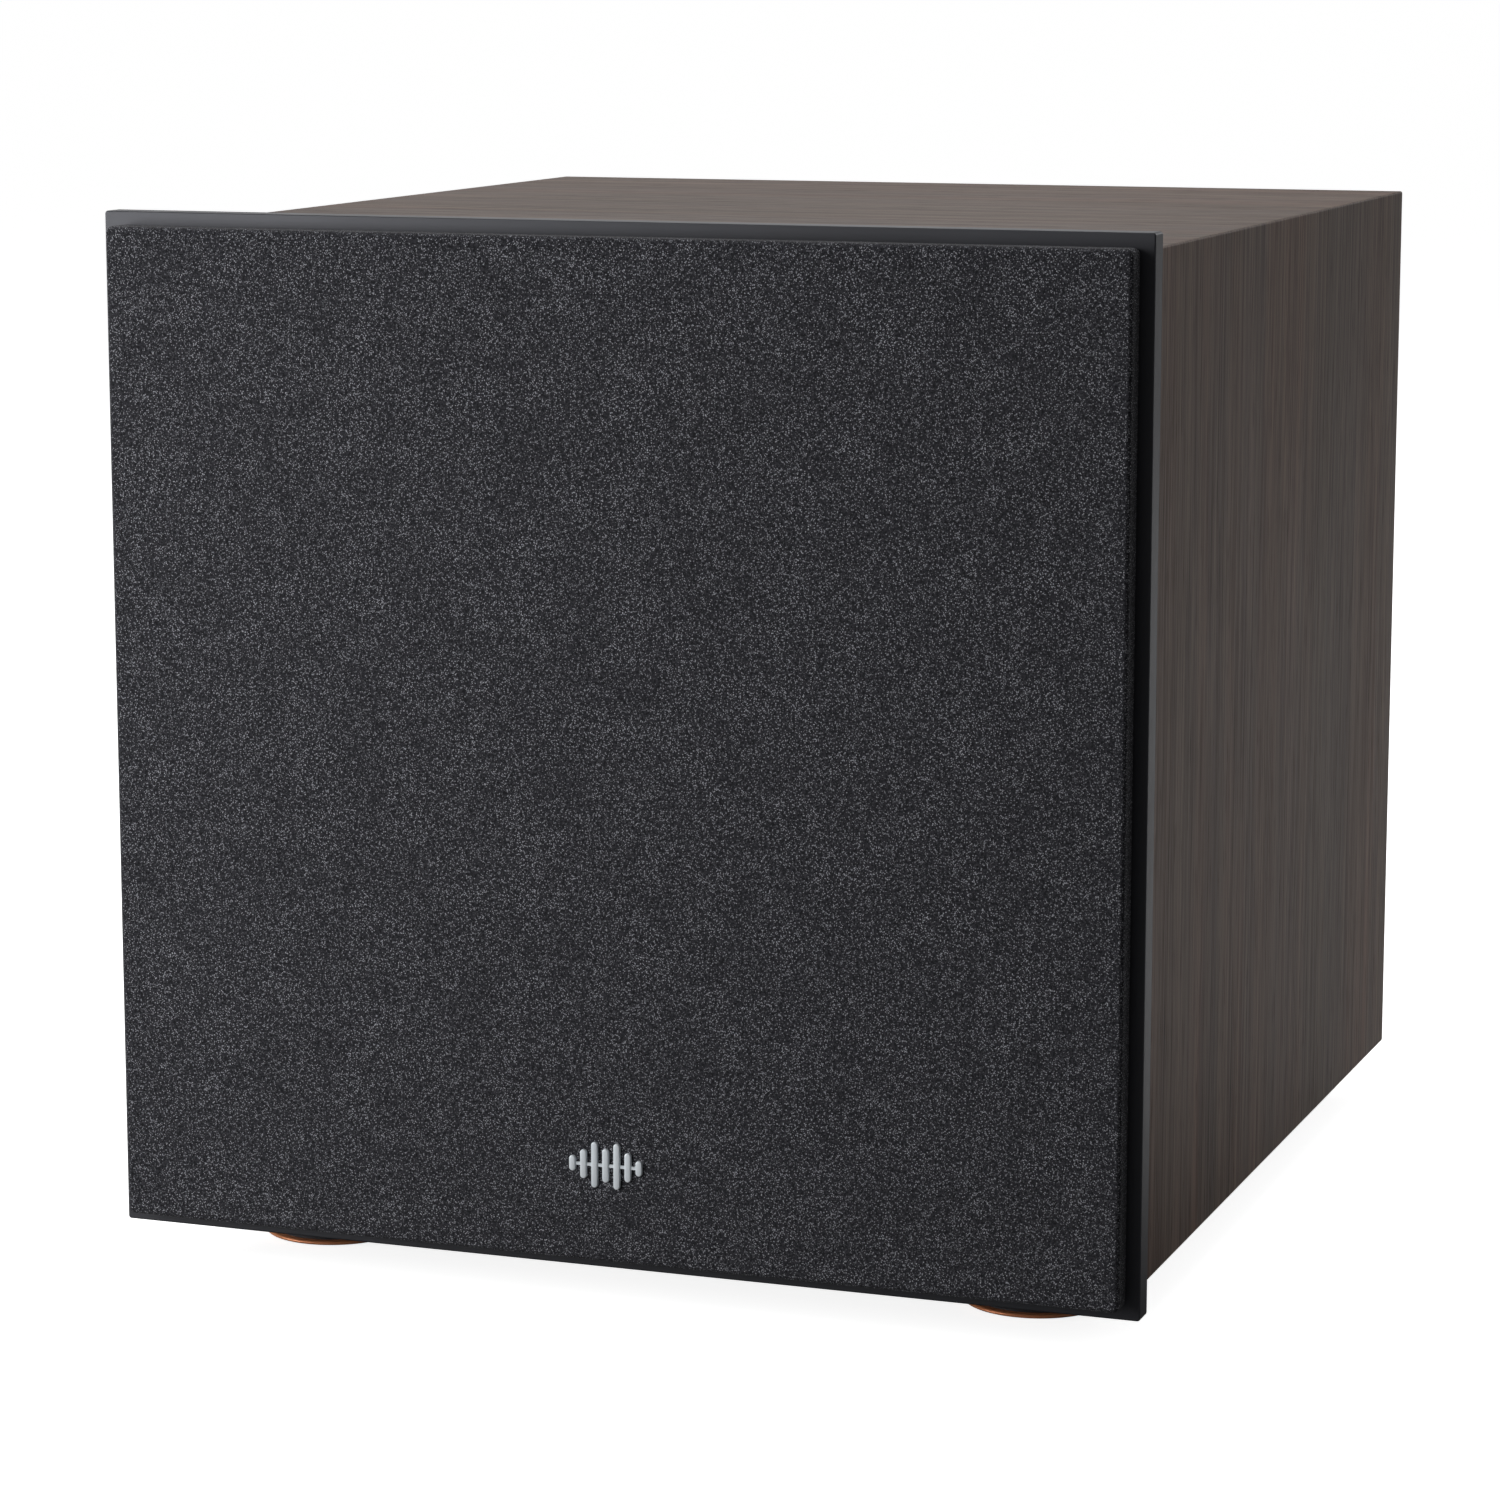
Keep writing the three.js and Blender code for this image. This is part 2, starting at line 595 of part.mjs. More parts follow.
/** The twin housing of both slide switches. */
function switchBlock() {
  const [half, rise] = [SWITCH.block / 2, SWITCH.height / 2];
  let body = block([-half, half], [BOARD.rear, SWITCH.rear], [-rise, rise]);
  for (const side of [-1, 1]) {
    const x = side * SWITCH.x;
    body = body.subtract(block(
      [x - SLOT.width / 2, x + SLOT.width / 2], [SLOT.floor, AMP.rear],
      [-SLOT.height / 2, SLOT.height / 2],
    ));
  }
  return body;
}

const nib = () => block(
  [-NIB.width / 2, NIB.width / 2], [NIB.front, NIB.rear], [-NIB.height / 2, NIB.height / 2],
);

/** A phono jack: a square body on the board and a barrel with a pin hole. */
function phonoJack() {
  const body = block([-6, 6], [BOARD.rear, AMP.front - GAP], [-7, 7]);
  const barrel = rod(JACK.barrel, BOARD.rear, JACK.rear, SMALL);
  return body.add(barrel).subtract(rod(JACK.bore, AMP.front, JACK.rear + 1, 8));
}

const statusLight = () => turned([
  [0, BOARD.rear], [LED.radius, BOARD.rear], [LED.radius, LED.rear - 1],
  [LED.radius * 0.7, LED.rear - 0.3], [0, LED.rear],
], SMALL);

/** The mains inlet: a lipped socket with two cut corners and three blades. */
function mainsInlet() {
  const lip = roundedRectangle(INLET.lip, INLET.lipHeight, 2);
  const [halfWidth, halfHeight] = [INLET.recessWidth / 2, INLET.recessHeight / 2];
  const cut = INLET.corner;
  const recess = polygon([
    [-halfWidth, -halfHeight], [halfWidth, -halfHeight], [halfWidth, halfHeight - cut],
    [halfWidth - cut, halfHeight], [cut - halfWidth, halfHeight], [-halfWidth, halfHeight - cut],
  ]);
  let body = block(
    [-INLET.width / 2, INLET.width / 2], [INLET.front, AMP.rear + 1],
    [-INLET.height / 2, INLET.height / 2],
  )
    .add(extruded(lip, AMP.rear, INLET.rear))
    .subtract(extruded(recess, INLET.floor, INLET.rear + 1));
  for (const [x, z] of [[-7, -2], [7, -2], [0, 2]]) {
    body = body.add(block([x - 1, x + 1], [INLET.floor - 1, INLET.bladeRear], [z - 2, z + 2]));
  }
  return body;
}

function rockerHousing() {
  const lip = roundedRectangle(ROCKER.lipWidth, ROCKER.lipHeight, 1.5);
  const across = (width) => [-width / 2, width / 2];
  return block(across(ROCKER.bodyWidth), [ROCKER.front, AMP.rear + 1], across(ROCKER.bodyHeight))
    .add(extruded(lip, AMP.rear, ROCKER.lipRear))
    .subtract(block(
      across(ROCKER.wellWidth), [ROCKER.floor, ROCKER.lipRear + 1], across(ROCKER.wellHeight),
    ));
}

/** The rocker, made about its pivot and tipped to its off position. */
function rocker() {
  const length = ROCKER.halfLength;
  const outline = polygon([
    [-2.5, -3.6], [2.5, -3.6], [length - 0.4, -0.5], [length, 4.6], [0, 3.4],
    [-length, 4.6], [0.4 - length, -0.5],
  ]);
  const geometry = new THREE.ExtrudeGeometry(outline, { depth: ROCKER.width, bevelEnabled: false });
  geometry.translate(0, 0, -ROCKER.width / 2);
  // Width to X, the outline's own length to Z and its height to the rear.
  geometry.applyMatrix4(new THREE.Matrix4().set(
    0, 0, 1, 0,
    0, 1, 0, 0,
    -1, 0, 0, 0,
    0, 0, 0, 1,
  ));
  return solid(geometry).rotate([ROCKER.rest, 0, 0]);
}

/** The circuit board, with its standoffs and its reservoir capacitors. */
function ampBoard() {
  const { halfWidth, bottom, top, front, rear, standoff, inset } = BOARD;
  let body = block([-halfWidth, halfWidth], [front, rear], [bottom, top]);
  for (const x of [inset - halfWidth, halfWidth - inset]) {
    for (const z of [bottom + inset, top - inset]) {
      body = body.add(rod(standoff, front, AMP.front, SMALL).translate([x, 0, z]));
    }
  }
  for (const x of CAPACITORS.x) {
    const can = rod(CAPACITORS.radius, front - CAPACITORS.height, rear, COARSE);
    body = body.add(can.translate([x, 0, CAPACITORS.z]));
  }
  return body;
}

function heatSink() {
  const { width, height, base, fins, fin, reach } = SINK;
  const root = BOARD.front - base;
  let body = block([-width / 2, width / 2], [root, BOARD.front], [-height / 2, height / 2]);
  for (let i = 0; i < fins; i += 1) {
    const x = -width / 2 + ((width - fin) * i) / (fins - 1);
    body = body.add(block([x, x + fin], [root - reach, root + 1], [-height / 2, height / 2]));
  }
  return body;
}

/** A laminated core with its wound bobbin. */
function transformer() {
  const { width, height, core, coil, reach } = TRANSFORMER;
  const centred = (size) => [-size / 2, size / 2];
  const middle = BOARD.front - reach / 2;
  return block(centred(width), [middle - core / 2, middle + core / 2], centred(height))
    .add(block(centred(coil), [BOARD.front - reach, BOARD.front], centred(height - 10)));
}

function addAmplifier(parent) {
  const place = (name, body, material, x, z, depth = 0) => (
    add(parent, name, body, material).position.set(x, depth, z)
  );
  add(parent, 'amp_plate', ampPlate(), FINISH.satinBlack());
  add(parent, 'amp_gasket', ampGasket(), FINISH.foam());
  add(parent, 'amp_board', ampBoard(), FINISH.board());
  place('heat_sink', heatSink(), FINISH.aluminium(), SINK.x, SINK.z);
  place('transformer', transformer(), FINISH.core(), TRANSFORMER.x, TRANSFORMER.z);
  place('level_knob', knob(), FINISH.mouldedBlack(), KNOB.x, KNOB.z);
  place('crossover_knob', knob(), FINISH.mouldedBlack(), -KNOB.x, KNOB.z);
  place('level_pot', pot(), FINISH.zinc(), KNOB.x, KNOB.z);
  place('crossover_pot', pot(), FINISH.zinc(), -KNOB.x, KNOB.z);
  place('slide_switch_block', switchBlock(), FINISH.mouldedBlack(), 0, SWITCH.z);
  place('phase_slider', nib(), FINISH.mouldedBlack(), SWITCH.x + SWITCH.travel / 2, SWITCH.z);
  place('mode_slider', nib(), FINISH.mouldedBlack(), SWITCH.travel / 2 - SWITCH.x, SWITCH.z);
  place('rca_left', phonoJack(), FINISH.jackLeft(), JACK.leftX, JACK.z);
  place('rca_right', phonoJack(), FINISH.jackRight(), JACK.rightX, JACK.z);
  place('status_light', statusLight(), FINISH.light(), LED.x, LED.z);
  place('mains_inlet', mainsInlet(), FINISH.mouldedBlack(), INLET.x, INLET.z);
  place('rocker_housing', rockerHousing(), FINISH.mouldedBlack(), ROCKER.x, ROCKER.z);
  place('power_rocker', rocker(), FINISH.mouldedBlack(), ROCKER.x, ROCKER.z, ROCKER.pivot);
}

// ---------------------------------------------------------------------- feet

const footBody = () => turnedUpright([
  [FOOT.hole, CABINET.bottom], [FOOT.top, CABINET.bottom], [FOOT.base, FOOT.bottom],
  [FOOT.well, FOOT.bottom], [FOOT.well, FOOT.wellTop], [FOOT.hole, FOOT.wellTop],
], COARSE);

const footRing = () => turnedUpright([
  [FOOT.ringInner, FOOT.ringBottom], [FOOT.ringOuter - 0.5, FOOT.ringBottom],
  [FOOT.ringOuter, FOOT.bottom - 0.4], [FOOT.ringOuter, FOOT.bottom],
  [FOOT.ringInner, FOOT.bottom],
], COARSE);

/** A glued rubber disc, which covers the foot's screw well. */
const footPad = () => turnedUpright([
  [0, 0], [FOOT.pad - 0.4, 0], [FOOT.pad, 0.4], [FOOT.pad, FOOT.ringBottom],
  [0, FOOT.ringBottom],
], COARSE);

function addFeet(parent) {
  const depths = { front: FASCIA.front + FOOT.inset, rear: CABINET.rear - FOOT.inset };
  for (const [end, depth] of Object.entries(depths)) {
    for (const [side, sign] of [['left', -1], ['right', 1]]) {
      const foot = new THREE.Group();
      foot.position.set(sign * FOOT.x, depth, 0);
      parent.add(foot);
      add(foot, `foot_${end}_${side}`, footBody(), FINISH.mouldedBlack());
      add(foot, `foot_ring_${end}_${side}`, footRing(), FINISH.copper());
      add(foot, `foot_pad_${end}_${side}`, footPad(), FINISH.rubber());
    }
  }
}

// -------------------------------------------------------- wadding and wiring

/** An arch of fibre that lines the sides and the top of the box. */
function wadding() {
  const { front, rear, thickness, bottom, margin } = WADDING;
  const outer = CABINET.inside.halfWidth - margin;
  const top = CABINET.inside.top - margin;
  const arch = block([-outer, outer], [front, rear], [bottom, top]);
  const inner = outer - thickness;
  return arch.subtract(block([-inner, inner], [0, CABINET.rear], [0, top - thickness]));
}

/** The lead from the board, through the brace's window, to the driver's terminal. */
function speakerLead() {
  const angle = THREE.MathUtils.degToRad(TERMINAL.angle);
  const reach = TERMINAL.outer + 3 + GAP;
  const blade = new THREE.Vector3(
    reach * Math.cos(angle), (TERMINAL.front + TERMINAL.rear) / 2,
    FASCIA.middle - reach * Math.sin(angle),
  );
  const route = new THREE.CatmullRomCurve3([
    blade,
    blade.clone().add(new THREE.Vector3(-3, 6, -8)),
    new THREE.Vector3(-62, 90, 50),
    new THREE.Vector3(-70, 140, 74),
    new THREE.Vector3(-74, 185, 86),
    new THREE.Vector3(-78, 240, 78),
    new THREE.Vector3(-80, 300, 96),
    new THREE.Vector3(-82, 336, 140),
    new THREE.Vector3(-80, 350, BOARD.bottom + BOARD.inset),
    new THREE.Vector3(-80, BOARD.front - 2 * GAP, BOARD.bottom + BOARD.inset),
  ]);
  const section = new THREE.Shape();
  section.absarc(0, 0, LEAD.radius, 0, Math.PI * 2);
  return solid(new THREE.ExtrudeGeometry(section, {
    steps: LEAD.steps, curveSegments: LEAD.sides / 2, extrudePath: route, bevelEnabled: false,
  }));
}

function addFilling(parent) {
  add(parent, 'damping_wadding', wadding(), FINISH.wadding());
  add(parent, 'speaker_lead', speakerLead(), FINISH.lead());
}

// ------------------------------------------------------------------ assembly

const subwoofer = new THREE.Group();
const assembly = new THREE.Group();
assembly.position.y = -MIDDLE_DEPTH;
subwoofer.add(assembly);

addCabinet(assembly);
addGrille(assembly);
addDriver(assembly);
addPort(assembly);
addAmplifier(assembly);
addFeet(assembly);
addFilling(assembly);

export default subwoofer;
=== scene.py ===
"""A powered subwoofer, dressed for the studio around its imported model.

Every piece sits in the model's own frame, in metres: +Z is up, the grille faces -Y
and +X is to the right seen from the front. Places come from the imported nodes.
"""

import json
import logging
import math
from dataclasses import dataclass, field
from enum import Enum
from typing import Callable, Iterable, Sequence

import bmesh
import bpy
from mathutils import Matrix, Vector

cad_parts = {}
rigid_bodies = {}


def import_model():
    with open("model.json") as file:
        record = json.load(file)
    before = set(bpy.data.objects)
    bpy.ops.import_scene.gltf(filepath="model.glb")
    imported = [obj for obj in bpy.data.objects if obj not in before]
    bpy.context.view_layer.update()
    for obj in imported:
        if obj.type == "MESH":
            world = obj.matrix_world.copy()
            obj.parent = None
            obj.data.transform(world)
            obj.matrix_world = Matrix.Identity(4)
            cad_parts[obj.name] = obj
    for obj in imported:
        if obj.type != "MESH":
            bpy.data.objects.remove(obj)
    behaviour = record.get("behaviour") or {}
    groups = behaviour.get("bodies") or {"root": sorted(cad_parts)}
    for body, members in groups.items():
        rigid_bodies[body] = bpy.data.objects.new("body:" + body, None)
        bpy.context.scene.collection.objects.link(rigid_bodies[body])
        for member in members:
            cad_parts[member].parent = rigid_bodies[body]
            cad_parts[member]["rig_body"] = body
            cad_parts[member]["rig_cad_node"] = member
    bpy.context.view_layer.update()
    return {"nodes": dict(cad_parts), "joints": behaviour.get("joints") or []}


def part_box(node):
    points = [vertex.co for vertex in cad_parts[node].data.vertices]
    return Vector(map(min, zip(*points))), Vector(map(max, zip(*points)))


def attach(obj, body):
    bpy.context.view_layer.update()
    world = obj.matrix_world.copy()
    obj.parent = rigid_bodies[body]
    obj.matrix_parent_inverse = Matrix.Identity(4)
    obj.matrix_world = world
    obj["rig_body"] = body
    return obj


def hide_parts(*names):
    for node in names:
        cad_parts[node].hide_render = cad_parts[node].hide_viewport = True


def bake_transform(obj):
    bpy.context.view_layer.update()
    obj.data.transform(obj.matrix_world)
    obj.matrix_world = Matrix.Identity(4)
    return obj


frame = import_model()

logging.basicConfig(level=logging.INFO, format="%(name)s: %(message)s")
LOG = logging.getLogger("subwoofer")

MM = 0.001
Point = Sequence[float]
Outline = list[tuple[float, float]]
Piece = bpy.types.Object
Node = bpy.types.Node
Socket = bpy.types.NodeSocket
Sockets = bpy.types.NodeInputs
Tree = bpy.types.NodeTree


# ---------------------------- the bench: mesh operators, each kept to one piece


class Axis(Enum):
    """The direction that a turned or drawn piece runs along."""

    X = "X"
    Y = "Y"
    Z = "Z"

    @property
    def along(self) -> Vector:
        """The direction itself."""
        return Vector((self is Axis.X, self is Axis.Y, self is Axis.Z))

    @property
    def across(self) -> tuple[Vector, Vector]:
        """The two directions of a flat outline that stands across this one.

        Returns:
            The outline's first and second direction.
        """
        return {
            Axis.X: (Vector((0, 1, 0)), Vector((0, 0, 1))),
            Axis.Y: (Vector((1, 0, 0)), Vector((0, 0, 1))),
            Axis.Z: (Vector((1, 0, 0)), Vector((0, 1, 0))),
        }[self]


class Kind(Enum):
    """What a selection is made of."""

    FACE = "FACE"
    EDGE = "EDGE"


@dataclass(frozen=True)
class Span:
    """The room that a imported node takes.

    Args:
        low: its lowest corner.
        high: its highest corner.
    """

    low: Vector
    high: Vector

    @staticmethod
    def of(node: str) -> "Span":
        """The room of one node."""
        return Span(*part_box(node))

    @property
    def middle(self) -> Vector:
        """The centre of the room."""
        return (self.low + self.high) / 2

    @property
    def size(self) -> Vector:
        """Its extent along X, Y and Z."""
        return self.high - self.low


def clear() -> None:
    """Leave nothing selected."""
    if bpy.context.object and bpy.context.object.mode != "OBJECT":
        bpy.ops.object.mode_set(mode="OBJECT")
    bpy.ops.object.select_all(action="DESELECT")


def hold(piece: Piece) -> Piece:
    """Select one piece alone and make it active.

    Args:
        piece: the piece to hold.

    Returns:
        The same piece.
    """
    clear()
    piece.select_set(True)
    bpy.context.view_layer.objects.active = piece
    return piece


def settle(piece: Piece) -> Piece:
    """Put a piece's place into its mesh.

    Args:
        piece: the piece to settle.

    Returns:
        The same piece.
    """
    hold(piece)
    bpy.ops.object.transform_apply(location=True, rotation=True, scale=True)
    return piece


def pick(piece: Piece, kind: Kind, test: Callable) -> None:
    """Open a piece for editing with only the faces or edges that pass a test selected.

    Args:
        piece: the piece to open.
        kind: whether faces or edges are tested.
        test: is given each face or edge, and returns whether it is wanted.
    """
    hold(piece)
    bpy.ops.object.mode_set(mode="EDIT")
    bpy.ops.mesh.select_mode(type=kind.value)
    bpy.ops.mesh.select_all(action="DESELECT")
    shell = bmesh.from_edit_mesh(piece.data)
    for item in shell.faces if kind is Kind.FACE else shell.edges:
        if test(item):
            item.select_set(True)
    shell.select_flush_mode()
    bmesh.update_edit_mesh(piece.data)


def block(name: str, low: Point, high: Point) -> Piece:
    """A block between two corners, as the start of a piece.

    Args:
        name: the piece's name.
        low: its lowest corner.
        high: its highest corner.

    Returns:
        The block.
    """
    clear()
    low, high = Vector(low), Vector(high)
    bpy.ops.mesh.primitive_cube_add(size=1, location=(low + high) / 2)
    piece = bpy.context.object
    piece.name = name
    piece.scale = high - low
    return settle(piece)


def wire(name: str, points: list[Vector]) -> Piece:
    """A single vertex drawn out through a row of points.

    Args:
        name: the piece's name.
        points: the points, in order.

    Returns:
        The wire, left open for editing.
    """
    clear()
    bpy.ops.mesh.primitive_plane_add(size=MM, location=points[0])
    piece = settle(bpy.context.object)
    piece.name = name
    bpy.ops.object.mode_set(mode="EDIT")
    bpy.ops.mesh.select_mode(type="VERT")
    bpy.ops.mesh.select_all(action="SELECT")
    bpy.ops.mesh.merge(type="CENTER")
    for start, end in zip(points, points[1:]):
        bpy.ops.mesh.extrude_region_move(TRANSFORM_OT_translate={"value": end - start})
    bpy.ops.mesh.select_all(action="SELECT")
    bpy.ops.mesh.remove_doubles(threshold=MM / 1000)
    return piece


def close(piece: Piece) -> Piece:
    """Merge doubles, turn the faces outwards and leave edit mode.

    Args:
        piece: the piece that is open for editing.

    Returns:
        The same piece.
    """
    bpy.ops.mesh.select_all(action="SELECT")
    bpy.ops.mesh.remove_doubles(threshold=MM / 1000)
    bpy.ops.mesh.normals_make_consistent(inside=False)
    bpy.ops.object.mode_set(mode="OBJECT")
    return piece


def turned(
    name: str, outline: Outline, centre: Point, axis: Axis = Axis.Y, steps: int = 96,
    closed: bool = True,
) -> Piece:
    """An outline spun a full turn about an axis.

    Args:
        name: the piece's name.
        outline: (radius, place along the axis) points, measured from the centre.
        centre: a point on the axis.
        axis: the axis to turn about.
        steps: the number of sides.
        closed: whether the last point joins the first.

    Returns:
        The turned piece, out of edit mode.
    """
    centre, radial = Vector(centre), axis.across[0]
    loop = outline + outline[:1] if closed else outline
    piece = wire(name, [centre + radial * r + axis.along * a for r, a in loop])
    bpy.ops.mesh.select_all(action="SELECT")
    bpy.ops.mesh.spin(steps=steps, angle=math.tau, center=centre, axis=axis.along)
    return close(piece)


def drawn(
    name: str, outline: Outline, start: float, end: float, axis: Axis = Axis.Y,
    origin: Point = (0, 0, 0),
) -> Piece:
    """A flat closed outline pulled straight along an axis.

    Args:
        name: the piece's name.
        outline: points across the axis, measured from the origin.
        start: where the piece starts along the axis.
        end: where it ends.
        axis: the axis to pull along.
        origin: a point that the outline is measured from.

    Returns:
        The drawn piece, out of edit mode.
    """
    first, second = axis.across
    base = Vector(origin)
    base -= axis.along * base.dot(axis.along)
    loop = outline + outline[:1]
    points = [base + first * a + second * b + axis.along * start for a, b in loop]
    piece = wire(name, points)
    bpy.ops.mesh.select_all(action="SELECT")
    bpy.ops.mesh.edge_face_add()
    pull = {"value": axis.along * (end - start)}
    bpy.ops.mesh.extrude_region_move(TRANSFORM_OT_translate=pull)
    return close(piece)


def modify(piece: Piece, kind: str, **settings: object) -> Piece:
    """Add a modifier, set it and apply it.

    Args:
        piece: the piece to change.
        kind: the modifier's type.
        settings: the modifier's properties.

    Returns:
        The same piece.
    """
    hold(piece)
    modifier = piece.modifiers.new(kind.title(), kind)
    for name, value in settings.items():
        setattr(modifier, name, value)
    bpy.ops.object.modifier_apply(modifier=modifier.name)
    return piece


def cut(piece: Piece, *tools: Piece) -> Piece:
    """Cut each tool out of a piece, and clear the tools away.

    Args:
        piece: the piece to cut.
        tools: the closed shapes to take out of it.

    Returns:
        The same piece.
    """
    for tool in tools:
        modify(piece, "BOOLEAN", operation="DIFFERENCE", object=tool, solver="EXACT")
        bpy.data.objects.remove(tool)
    return piece


def round_edges(piece: Piece, test: Callable, radius: float, segments: int = 3) -> Piece:
    """Round the edges that pass a test.

    Args:
        piece: the piece to change.
        test: is given each edge, and returns whether to round it.
        radius: the radius.
        segments: the number of flats round it.

    Returns:
        The same piece.
    """
    pick(piece, Kind.EDGE, test)
    bpy.ops.mesh.bevel(offset=radius, segments=segments, profile=0.5, clamp_overlap=True)
    bpy.ops.object.mode_set(mode="OBJECT")
    return piece


def soften(piece: Piece, radius: float, segments: int = 2, angle: float = 40) -> Piece:
    """Round every sharp edge.

    Args:
        piece: the piece to change.
        radius: the radius.
        segments: the number of flats round it.
        angle: how many degrees an edge must turn to count as sharp.

    Returns:
        The same piece.
    """
    return modify(
        piece, "BEVEL", width=radius, segments=segments, limit_method="ANGLE",
        angle_limit=math.radians(angle), use_clamp_overlap=True,
    )


def copied(piece: Piece, name: str, move: Matrix) -> Piece:
    """A copy with a mesh of its own.

    Args:
        piece: the piece to copy.
        name: the copy's name.
        move: how the copy is moved and turned.

    Returns:
        The copy.
    """
    hold(piece)
    bpy.ops.object.duplicate(linked=False)
    twin = bpy.context.object
    twin.name = name
    twin.matrix_world = move
    return settle(twin)


def repeated(pattern: Piece, names: Sequence[str], nodes: Sequence[str]) -> list[Piece]:
    """A piece and its copies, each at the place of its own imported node.

    Args:
        pattern: the piece, as modelled for the first node.
        names: the pieces' names, the pattern's own first.
        nodes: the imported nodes, in the same order.

    Returns:
        The pattern and its copies.
    """
    pattern.name = names[0]
    start = Span.of(nodes[0]).middle
    return [pattern, *(
        copied(pattern, name, Matrix.Translation(Span.of(node).middle - start))
        for name, node in zip(names[1:], nodes[1:])
    )]


def rod(
    name: str, radius: float, start: float, end: float, centre: Point,
    axis: Axis = Axis.Y, steps: int = 40,
) -> Piece:
    """A round rod, to cut a hole with.

    Args:
        name: the rod's name.
        radius: its radius.
        start: where it starts along the axis, measured from the centre.
        end: where it ends.
        centre: a point on the axis.
        axis: the axis that it lies along.
        steps: the number of sides.

    Returns:
        The rod.
    """
    outline = [(0, start), (radius, start), (radius, end), (0, end)]
    return turned(name, outline, centre, axis, steps, closed=False)


def joined(name: str, pieces: Iterable[Piece]) -> Piece:
    """Several parts of one moulding as one piece.

    Args:
        name: the name of the whole.
        pieces: its parts.

    Returns:
        The whole.
    """
    parts = list(pieces)
    hold(parts[0])
    for part in parts[1:]:
        part.select_set(True)
    if len(parts) > 1:
        bpy.ops.object.join()
    parts[0].name = name
    return parts[0]


def arc(
    centre: tuple[float, float], radius: float, start: float, end: float, steps: int = 8,
) -> Outline:
    """Points on a round stretch of an outline, with its angles in degrees."""
    turns = [math.radians(start + (end - start) * i / steps) for i in range(steps + 1)]
    return [(centre[0] + radius * math.cos(t), centre[1] + radius * math.sin(t)) for t in turns]


def round_rectangle(
    width: float, height: float, radius: float, centre: tuple[float, float] = (0, 0),
    steps: int = 6,
) -> Outline:
    """The outline of a rectangle with round corners.

    Args:
        width: its width.
        height: its height.
        radius: the radius of its corners.
        centre: its middle.
        steps: the number of flats round a corner.

    Returns:
        The outline's points.
    """
    x, z = centre
    points: Outline = []
    for turn, (side, level) in enumerate(((1, -1), (1, 1), (-1, 1), (-1, -1))):
        corner = (x + side * (width / 2 - radius), z + level * (height / 2 - radius))
        points += arc(corner, radius, 90 * turn - 90, 90 * turn, steps)
    return points


def smooth_path(points: Sequence[Vector], spacing: float) -> list[Vector]:
    """A smooth path through a row of points.

    Args:
        points: the points that it passes through.
        spacing: roughly how far apart the path's own points are.

    Returns:
        The path's points, its two ends among them.
    """
    ends = [2 * points[0] - points[1], *points, 2 * points[-1] - points[-2]]
    path: list[Vector] = []
    for before, first, last, after in zip(ends, ends[1:], ends[2:], ends[3:]):
        steps = max(1, round((last - first).length / spacing))
        for step in range(steps):
            t = step / steps
            path.append(0.5 * (
                2 * first + (last - before) * t
                + (2 * before - 5 * first + 4 * last - after) * t**2
                + (3 * first - before - 3 * last + after) * t**3
            ))
    return [*path, points[-1]]


def runs_along(axis: Axis) -> Callable[[bmesh.types.BMEdge], bool]:
    """A test for the edges that run along an axis.

    Args:
        axis: the axis.

    Returns:
        The test.
    """

    def test(edge: bmesh.types.BMEdge) -> bool:
        """Whether an edge is parallel to the axis."""
        way = (edge.verts[1].co - edge.verts[0].co).normalized()
        return abs(way.dot(axis.along)) > 0.999

    return test


def lies_at(axis: Axis, place: float) -> Callable[[bmesh.types.BMEdge], bool]:
    """A test for the edges that lie in a plane across an axis.

    Args:
        axis: the axis.
        place: where the plane crosses it.

    Returns:
        The test.
    """

    def test(edge: bmesh.types.BMEdge) -> bool:
        """Whether both ends of an edge are in the plane."""
        return all(abs(v.co.dot(axis.along) - place) < MM / 50 for v in edge.verts)

    return test


def looks(way: Point) -> Callable[[bmesh.types.BMFace], bool]:
    """A test for the faces that look one way."""
    return lambda face: face.normal.dot(Vector(way)) > 0.99


# -------------------------------------------------------------- shader groups


